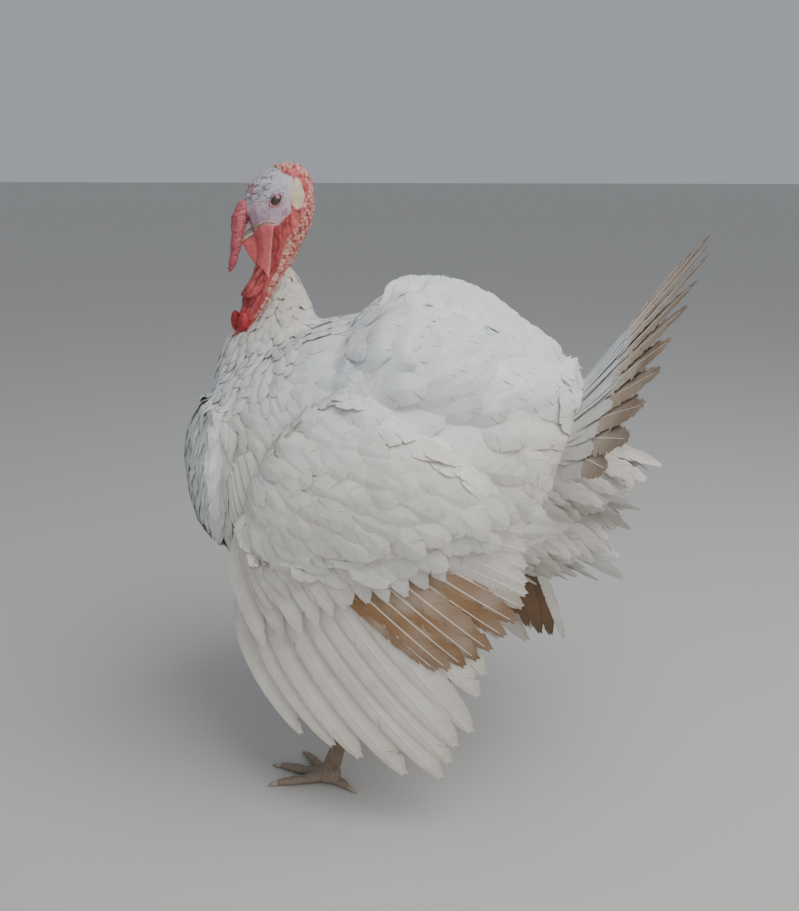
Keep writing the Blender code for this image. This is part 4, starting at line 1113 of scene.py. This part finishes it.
def contour_feathers():
    """The body's small feathers, on a closed hull round the solids."""
    verts, faces = wrapped(BODY_NODES, "hull", 5)
    tree = tree_of(verts, faces)
    rng = np.random.default_rng(41)

    def about(middle, spread, low=-9.0, high=9.0):
        return (middle + spread * rng.normal(size=count)).clip(low, high)

    p, n = scattered(verts, faces, rng, feather_gap)
    tract = Tracts(p, n)
    count = len(p)
    rng.random(count)                          # an idle draw, which keeps the draws after it as they are
    flow = tract.flow + 0.16 * rng.normal(size=(count, 3))
    flow = unit(flow - n * np.sum(flow * n, axis=1, keepdims=True))
    length = tract.length * about(1.0, 0.14, 0.7, 1.35)
    width = tract.width * about(1.0, 0.12, 0.7, 1.35)
    depth = tract.depth * (0.30 + 0.70 * smooth(0.0, 0.020, -bareness(p))) * about(1.0, 0.08)
    lift = tract.lift * (0.5 + rng.random(count))
    curl = about(0.0, 0.0004)
    centre, outs = centre_lines(tree, p, flow, length, depth, lift, curl, tract.shoulder > 0.3)
    stride = np.linalg.norm(np.diff(centre, axis=1), axis=2).max(axis=1)
    whole = stride < 1.5 * length / (centre.shape[1] - 1)
    across = unit(np.cross(outs, np.gradient(centre, axis=1)))
    across = unit(across + outs * about(0.04, 0.04)[:, None, None])
    tone = varied(plumage_tone(centre), rng)
    patch = unwrap(p, BODY_BAND)
    cup = 0.5 / np.where(tract.neck > 0.5, 0.022, 0.042)
    kind = rng.integers(0, 6, count)
    style = feather_styles(tract, rng)
    coat = Plumage("coat", CONTOUR)
    large = vanes(340, 6, 24, 0.20, 0.8, 0.40, 3.2, splits=2)
    sets = (vanes(300, 6, 15, 0.26, 0.8, 0.42, 2.8), vanes(320, 6, 11, 0.34, 1.3, 0.75, 1.7, splits=2),
            large, vanes(360, 6, 20, 0.26, 1.5, 0.46, 2.8, splits=5))
    for (number, patterns), i in product(enumerate(sets), range(6)):
        chosen = np.where((kind == i) & (style == number) & whole)[0]
        for start in range(0, len(chosen), 600):
            c = chosen[start:start + 600]
            coat.plant(patterns[i], (centre[c], across[c], outs[c]), 0.5 * width[c], tone[c], patch[c],
                       BODY_SHINGLE, cup[c])
    crest_rows(coat, tree, large, rng)
    return coat.finish()


# ---------------------------------------------------------------- wings
WING_LOW = np.minimum(box("primaries_left")[0], SHOULDER_LOW)
WING_SPAN = np.maximum(box("secondaries_left")[1], box("shoulder_left")[1]) - WING_LOW
FACE_MIDDLE = at("primaries_left", 0.523, 0.0, 0.0)[0]
FACE_OUT = -at("primaries_left", 0.0, 0.0, 0.0)[1] + 0.0082
FACE_TOP = at("primaries_left", 0.0, 0.0, 0.928)[2]
FAR_TURN = math.radians(9.0)                   # the right wing hangs lower at the rear
FAR_PIVOT = (-0.1039, 0.42)


def wing_point(side, x, z, out):
    """A point of the folded wing: x and z of the left wing, `out` in metres over its face."""
    front = 0.020 * (np.clip(FACE_MIDDLE - x, 0.0, 1.0) / 0.12) ** 2
    rear = 0.030 * (np.clip(x - FACE_MIDDLE, 0.0, 1.0) / 0.16) ** 2
    top = 0.022 * (np.clip(z - FACE_TOP, 0.0, 1.0) / 0.10) ** 2
    width = FACE_OUT - front - rear - top + out
    if side == LEFT:
        return np.stack([x, -width, z], -1)
    px, pz = FAR_PIVOT
    dx, dz = x - px, z - pz
    return np.stack([px + dx * math.cos(FAR_TURN) - dz * math.sin(FAR_TURN) + 0.018, width,
                     pz + dz * math.cos(FAR_TURN) + dx * math.sin(FAR_TURN) - 0.014], -1)


def wing_line(points, count):
    """That many places along a smooth line through fractions of the wing's box."""
    places = spline(points, np.linspace(0.0, 1.0, count))
    return WING_LOW[0] + WING_SPAN[0] * places[:, 0], WING_LOW[2] + WING_SPAN[2] * places[:, 1]


def feather_row(coat, side, roots, tips, outs, widths, tone_at, seed, patterns, band, stations=8,
                lead=0.8, bow=0.0, shaft=None):
    """A row of feathers, the first at the front; each lies over the one before it."""
    rng = np.random.default_rng(seed)
    count = len(widths)
    rx, rz = wing_line(roots, count)
    tx, tz = wing_line(tips, count)
    t = np.linspace(0.0, 1.0, stations)
    s = np.linspace(0.0, 1.0, count)
    x = mix(rx[:, None], tx[:, None], t[None])
    x = x - bow * np.sin(math.pi * t)[None] * ((1.0 - s) ** 1.5)[:, None]
    z = mix(rz[:, None], tz[:, None], t[None])
    out = np.interp(s, (0.0, 1.0), outs)[:, None] + 0.0006 * rng.normal(size=(count, 1)) * t[None]
    centre = wing_point(side, x, z, out)
    outward = unit(wing_point(side, x, z, out + 0.01) - centre)
    if side == RIGHT:
        outward = np.broadcast_to((0.0, 1.0, 0.0), centre.shape)
    across = unit(np.cross(np.gradient(centre, axis=1), outward)) * (-side)
    across = unit(across + outward * 0.10)
    patch = unwrap(centre[:, 0], band)
    patch[:, 0] = (0.05 if side == LEFT else 0.55) + 0.4 * s
    coat.plant_each(patterns, np.arange(count) + seed, (centre, across, outward), 0.5 * np.array(widths),
                    varied(tone_at(centre, s, t), rng), patch, WING_SHINGLE, 2.0, lead=lead,
                    shaft=shaft)


def stepped(low, high, t, s_share, amount):
    """A share that grows along each feather, times a share of the row and an amount at each place."""
    return np.clip(s_share * smooth(low, high, t)[None, :, None] * amount, 0.0, 1.0)


def clean_vane(centre, s, t):
    """White, a little dusty at the worn tips."""
    worn = 0.22 * smooth(0.80, 1.0, t)[None, :, None] * (0.4 + noise(centre, 0.02, 401))[..., None]
    return mix(plumage_tone(centre) * 0.99, DUSTY, np.clip(worn, 0.0, 1.0))


def stained_vane(centre, s, t):
    """Secondaries: brown with dust in their middle and lower parts, whiter at the shafts' bases."""
    patchy = noise(centre, 0.016, 402)[..., None]
    lower = smooth(0.66, 0.40, s)[:, None, None]
    tone = mix(plumage_tone(centre), STAIN, stepped(0.10, 0.40, t, lower, 0.55 + 0.75 * patchy))
    return mix(tone, EARTH, stepped(0.62, 1.0, t, lower, 0.2 + 0.9 * patchy))


def far_vane(centre, s, t):
    """Long feathers of the right wing that hang behind the body: soiled brown, darkened further as painted
    shade, the last one clean.
    """
    # the darkest brown is partly soil and partly painted shade
    dark = paint(EARTH, (SOIL_AND_SHADE_BROWN, smooth(0.2, 0.6, noise(centre, 0.012, 405))))
    share = smooth(0.20, 0.42, t)[None, :, None] * smooth(0.90, 0.84, s)[:, None, None]
    return mix(clean_vane(centre, s, t), dark, share)


def wing(coat, side):
    """Flight feathers first, then rows of coverts over their bases, from the lowest row up."""
    long_vanes = vanes(500, 5, 54, 0.070, 0.35, 0.46, 6.0, quill=0.03, edge_shade=0.82)
    frayed = vanes(520, 5, 44, 0.09, 1.2, 0.44, 4.5, quill=0.03, splits=5, edge_shade=0.84)
    covert = vanes(540, 5, 34, 0.13, 0.35, 0.50, 2.7, edge_shade=0.92)
    thick = shaft_pattern(0.0017, 0.0011)
    thin = shaft_pattern(0.0008, 0.0005, 0.92, 8)
    feather_row(coat, side, ((0.036, 0.530), (0.104, 0.613), (0.217, 0.677), (0.361, 0.725)),
                ((0.228, 0.073), (0.352, 0.062), (0.449, 0.040), (0.605, 0.003), (0.731, -0.002),
                 (0.760, 0.044), (0.780, 0.095), (0.829, 0.138), (0.850, 0.243), (0.868, 0.300)),
                (-0.0175, -0.0095), (0.026, 0.032, 0.036, 0.038, 0.038, 0.038, 0.038, 0.036, 0.036, 0.034),
                clean_vane, 11, long_vanes, (0.74, 0.78), 14, lead=0.62, bow=0.036, shaft=thick)
    if side == RIGHT:
        feather_row(coat, side, ((0.470, 0.520), (0.620, 0.520), (0.760, 0.500)),
                    ((0.610, 0.135), (0.655, 0.128), (0.710, 0.112), (0.750, 0.070), (0.800, 0.045),
                     (0.845, 0.040), (0.900, 0.030)), (-0.030, -0.022),
                    (0.026, 0.028, 0.028, 0.028, 0.028, 0.028, 0.016), far_vane, 17, frayed,
                    (0.785, 0.788), 12, shaft=thick)
    feather_row(coat, side, ((0.249, 0.649), (0.393, 0.701), (0.538, 0.728), (0.682, 0.740)),
                ((0.714, 0.319), (0.800, 0.330), (0.875, 0.367), (0.952, 0.430), (0.988, 0.500),
                 (0.990, 0.560), (0.985, 0.640), (0.965, 0.716)),
                (-0.0085, -0.0040), (0.030,) * 14, stained_vane, 12, frayed, (0.79, 0.83), 12,
                lead=0.72, shaft=thick)
    feather_row(coat, side, ((0.030, 0.640), (0.090, 0.700), (0.180, 0.740), (0.270, 0.760)),
                ((0.112, 0.330), (0.205, 0.375), (0.292, 0.405), (0.360, 0.450), (0.420, 0.480)),
                (-0.0055, -0.0025), (0.030, 0.032, 0.033, 0.033, 0.033, 0.033), clean_vane, 13, covert,
                (0.84, 0.86), 10, lead=0.85, bow=0.010, shaft=thin)
    feather_row(coat, side, ((0.249, 0.690), (0.393, 0.745), (0.538, 0.760), (0.700, 0.770)),
                ((0.337, 0.478), (0.449, 0.492), (0.585, 0.515), (0.721, 0.560), (0.820, 0.620),
                 (0.894, 0.690)), (-0.0030, -0.0005), (0.034,) * 12, clean_vane, 14, covert,
                (0.87, 0.89), shaft=thin)
    feather_row(coat, side,
                ((0.030, 0.690), (0.090, 0.760), (0.300, 0.790), (0.500, 0.800), (0.700, 0.800)),
                ((0.150, 0.440), (0.280, 0.520), (0.450, 0.585), (0.640, 0.620), (0.860, 0.700)),
                (-0.0012, 0.0015), (0.028,) * 14, clean_vane, 15, covert, (0.90, 0.92),
                lead=0.85, shaft=thin)
    feather_row(coat, side, ((0.020, 0.760), (0.060, 0.830), (0.250, 0.860), (0.500, 0.860)),
                ((0.110, 0.560), (0.250, 0.620), (0.450, 0.680), (0.680, 0.710)),
                (0.0005, 0.0025), (0.026,) * 14, clean_vane, 16, covert, (0.93, 0.95), lead=0.9)


# ---------------------------------------------------------------- tail
TAIL_BASE = box("tail")[0] * (1.0, 0.0, 1.0) - (0.022, 0.0, 0.0137)
TAIL_PITCH = math.radians(58.5)
TAIL_AXIS = np.array((math.cos(TAIL_PITCH), 0.0, math.sin(TAIL_PITCH)))
TAIL_UP = np.array((-math.sin(TAIL_PITCH), 0.0, math.cos(TAIL_PITCH)))
TAIL_REACH = 0.258
TAIL_ROOF = -0.20                              # the fan's sides lie lower than its middle
TAIL_CURL = -0.014


def tail_fan(coat, count, near_reach, far_middle, far_side, rise, width, tone_at, seed, patterns, spread,
             shaft=None, stations=8, wander=0.03):
    """Feathers in a fan; a positive rise is on its front face, over the back."""
    rng = np.random.default_rng(seed)
    s = np.linspace(-1.0, 1.0, count)
    angle = s * math.radians(spread) + wander * rng.normal(size=count)
    d = (TAIL_AXIS * np.cos(angle)[:, None] + np.array((0.0, 1.0, 0.0)) * np.sin(angle)[:, None]
         + TAIL_UP * (TAIL_ROOF * (1.0 - np.cos(angle)))[:, None])
    d = unit(d)
    side = unit(np.stack([-TAIL_AXIS[0] * np.sin(angle), np.cos(angle), -TAIL_AXIS[2] * np.sin(angle)], -1)
                + TAIL_UP * (TAIL_ROOF * np.sin(angle))[:, None])
    normal = unit(np.cross(d, side))
    normal = normal * np.sign(np.sum(normal * TAIL_UP, axis=1, keepdims=True))
    far = mix(far_middle, far_side, np.abs(s)) * (1.0 + 0.02 * rng.normal(size=count))
    t = np.linspace(0.0, 1.0, stations)
    reach = near_reach + (far - near_reach)[:, None] * t[None]
    centre = TAIL_BASE + d[:, None, :] * reach[..., None]
    centre = centre + TAIL_UP * (TAIL_CURL * (reach / TAIL_REACH) ** 2)[..., None]
    layer = (0.0012 if rise >= 0 else -0.0012) * (1.0 - np.abs(s))
    settle = (1.0 - 0.75 * t ** 2)[None, :, None] if rise else 1.0
    offset = (rise + layer + 0.0003 * rng.normal(size=count))[:, None, None]
    centre = centre + normal[:, None, :] * offset * settle
    outward = np.repeat(normal[:, None, :], stations, axis=1)
    across = np.repeat(side[:, None, :], stations, axis=1)
    across = unit(across + outward * (0.06 * np.sign(s)[:, None, None]))
    tone = varied(tone_at(centre, s, t), rng)
    patch = np.stack([0.05 + 0.9 * (s * 0.5 + 0.5), np.full(count, 0.96 + 0.005 * (seed % 5))], -1)
    coat.plant_each(patterns, np.arange(count) * 3 + seed, (centre, across, outward),
                    np.full(count, 0.5 * width), tone, patch, PLUME_SHINGLE, 1.5, shaft=shaft)


def tail_tone(centre, s, t):
    """White at the base, dusty from the middle, brown at the worn tips; paler at the fan's sides."""
    paler = mix(1.0, 0.35, smooth(0.70, 1.0, np.abs(s)))[:, None, None]
    patchy = noise(centre, 0.02, 403)[..., None] * paler
    tone = mix(WARM_WHITE, TAN, stepped(0.34, 0.66, t, 1.0, 0.55 + 0.8 * patchy))
    return mix(tone, EARTH, stepped(0.58, 0.92, t, 1.0, 0.55 + 0.9 * patchy))


def tail(coat):
    """The fan, then its coverts: four layers over the back and two under the tail."""
    frayed = vanes(600, 6, 42, 0.085, 1.9, 0.52, 4.0, quill=0.02, splits=9, edge_shade=0.86)
    covert = vanes(620, 5, 20, 0.19, 0.7, 0.42, 2.8)
    tail_fan(coat, 18, 0.030, 0.260, 0.200, 0.0, 0.044, tail_tone, 21, frayed, 73.0,
             shaft_pattern(0.0016, 0.0011), 12, 0.0)
    for seed, near_reach, far, sides, rise, width, count, spread in (
            (22, 0.030, 0.150, 1.0, 0.0030, 0.034, 19, 76.0),
            (23, 0.020, 0.122, 1.0, 0.0048, 0.032, 19, 76.0),
            (24, 0.005, 0.092, 1.0, 0.0066, 0.030, 17, 76.0),
            (25, -0.020, 0.062, 1.0, 0.0084, 0.028, 14, 76.0),
            (27, 0.030, 0.150, 0.90, -0.0030, 0.032, 17, 68.0),
            (28, 0.020, 0.118, 0.90, -0.0050, 0.030, 17, 68.0)):
        tail_fan(coat, count, near_reach, far, far * sides, rise, width, clean_vane, seed, covert, spread)


def plume_bundle(coat, root, radius, length, droop, count, seed, band, tip_up):
    """Long loose feathers round an arch, that point to the rear and spread a little."""
    rng = np.random.default_rng(seed)
    turn = math.radians(178.0)
    phi = np.linspace(-turn, turn, count) + 0.05 * rng.normal(size=count)
    spoke = np.stack([np.zeros(count), np.sin(phi), np.cos(phi)], -1)
    start = root + spoke * np.array((0.0, radius[0], radius[1]))
    start[:, 0] += 0.010 * rng.normal(size=count)
    size = length * (1.0 + 0.13 * rng.normal(size=count))
    heading = unit(np.stack([np.ones(count), 0.16 * np.sin(phi) + 0.05 * rng.normal(size=count),
                             tip_up + 0.12 * np.cos(phi) + 0.06 * rng.normal(size=count)], -1))
    t = np.linspace(0.0, 1.0, 8)
    centre = start[:, None, :] + heading[:, None, :] * (size[:, None] * t[None])[..., None]
    centre = centre - UP * (droop * t ** 2)[None, :, None]
    centre = centre + spoke[:, None, :] * (0.006 * (t - t ** 2) * 4.0 - 0.004 * t ** 2)[None, :, None]
    ahead = np.gradient(centre, axis=1)
    across = unit(np.cross(np.repeat(spoke[:, None, :], len(t), axis=1), ahead))
    outward = unit(np.cross(ahead, across))
    across = unit(across + outward * (0.05 + 0.10 * rng.normal(size=count))[:, None, None])
    dusty = 0.35 * smooth(0.4, 1.0, t)[None] * noise(centre, 0.02, 404)
    coat.plant_each(vanes(700, 5, 17, 0.30, 1.4, 0.46, 2.6, splits=4), range(count),
                    (centre, across, outward), np.full(count, 0.0125),
                    paint(plumage_tone(centre), (DUSTY, dusty)), unwrap(start, band),
                    PLUME_SHINGLE, STRONG_CUP)


def soft_underside(coat):
    """Soft white feathers under the tail and over the vent, in layers from the inside out."""
    for middle, wide, tall, share, droop, extra, seed, band, tip_up in (
            (at("undertail", 0.0, 0.5, 0.80), 0.078, 0.030, 1.0, 0.016, 30, 80, (0.90, 0.93), -0.10),
            (at("vent", 0.0, 0.5, 0.85), 0.072, 0.034, 0.92, 0.018, 28, 90, (0.93, 0.95), -0.22)):
        for k, (back, grow, length) in enumerate((
                (0.004, 0.25, 0.080), (0.000, 0.50, 0.080), (-0.008, 0.75, 0.080), (-0.026, 0.88, 0.078),
                (-0.046, 1.0, 0.074), (-0.066, 1.08, 0.068))):
            plume_bundle(coat, middle + np.array((back, 0.0, 0.0)), (wide * grow, tall * grow),
                         share * length, droop, 10 + int(extra * grow), seed + k, band, tip_up)


def coat():
    pieces = contour_feathers()
    flight = Plumage("flight", FLIGHT)
    wing(flight, LEFT)
    wing(flight, RIGHT)
    tail(flight)
    soft_underside(flight)
    pieces += flight.finish()
    names = ["mantle", "breast", "vent", "undertail", "tail", "tail_coverts"]
    names += [name + side for name in ("primaries_", "secondaries_", "wing_coverts_", "shoulder_")
              for side in ("left", "right")]
    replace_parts(pieces[0], *names)


# ---------------------------------------------------------------- stage
def placed(name, data, place, ahead):
    """A camera or a light at a place, looking along a direction."""
    obj = bpy.data.objects.new(name, data)
    obj.location = place
    obj.rotation_euler = ahead.to_track_quat("-Z", "Y").to_euler()
    bpy.context.scene.collection.objects.link(obj)
    return obj


def stage():
    scene = bpy.context.scene
    ahead = Vector((-0.19830589, 0.93295586, -0.30044657))
    lens = bpy.data.cameras.new("camera")
    lens.lens = 35.57
    lens.sensor_width = 36.0
    scene.camera = placed("camera", lens, Vector(at("trunk", 0.5013, 0.5, 0.5418)) - ahead * 1.02856, ahead)
    half = 60.0
    mat, tree, bsdf = shader("plain_floor", 0.9)
    bsdf.inputs["Base Color"].default_value = (0.58, 0.57, 0.55, 1.0)
    verts = [(-half, -half, 0.0), (half, -half, 0.0), (half, half, 0.0), (-half, half, 0.0)]
    mesh_object("floor", verts, [(0, 1, 2, 3)], mat)
    for name, size, energy, place in (("sky_light", 1.6, 38.0, Vector((0.90, -0.60, 2.15))),
                                      ("side_light", 1.8, 8.0, Vector((1.1, -2.0, 0.9)))):
        light = bpy.data.lights.new(name, "AREA")
        light.size = size
        light.energy = energy
        placed(name, light, place, Vector((0.0, 0.0, 0.35)) - place)
    world = bpy.data.worlds.new("plain_sky")
    world.use_nodes = True
    sky = world.node_tree.nodes["Background"]
    sky.inputs[0].default_value = (0.78, 0.82, 0.88, 1.0)
    sky.inputs[1].default_value = 0.46
    scene.world = world


skin()
eyeball("eye_ball_left", EYE_LEFT, LEFT)
eyeball("eye_ball_right", EYE_RIGHT, RIGHT)
bill_half("bill_upper")
bill_half("bill_lower")
claws()
coat()
stage()
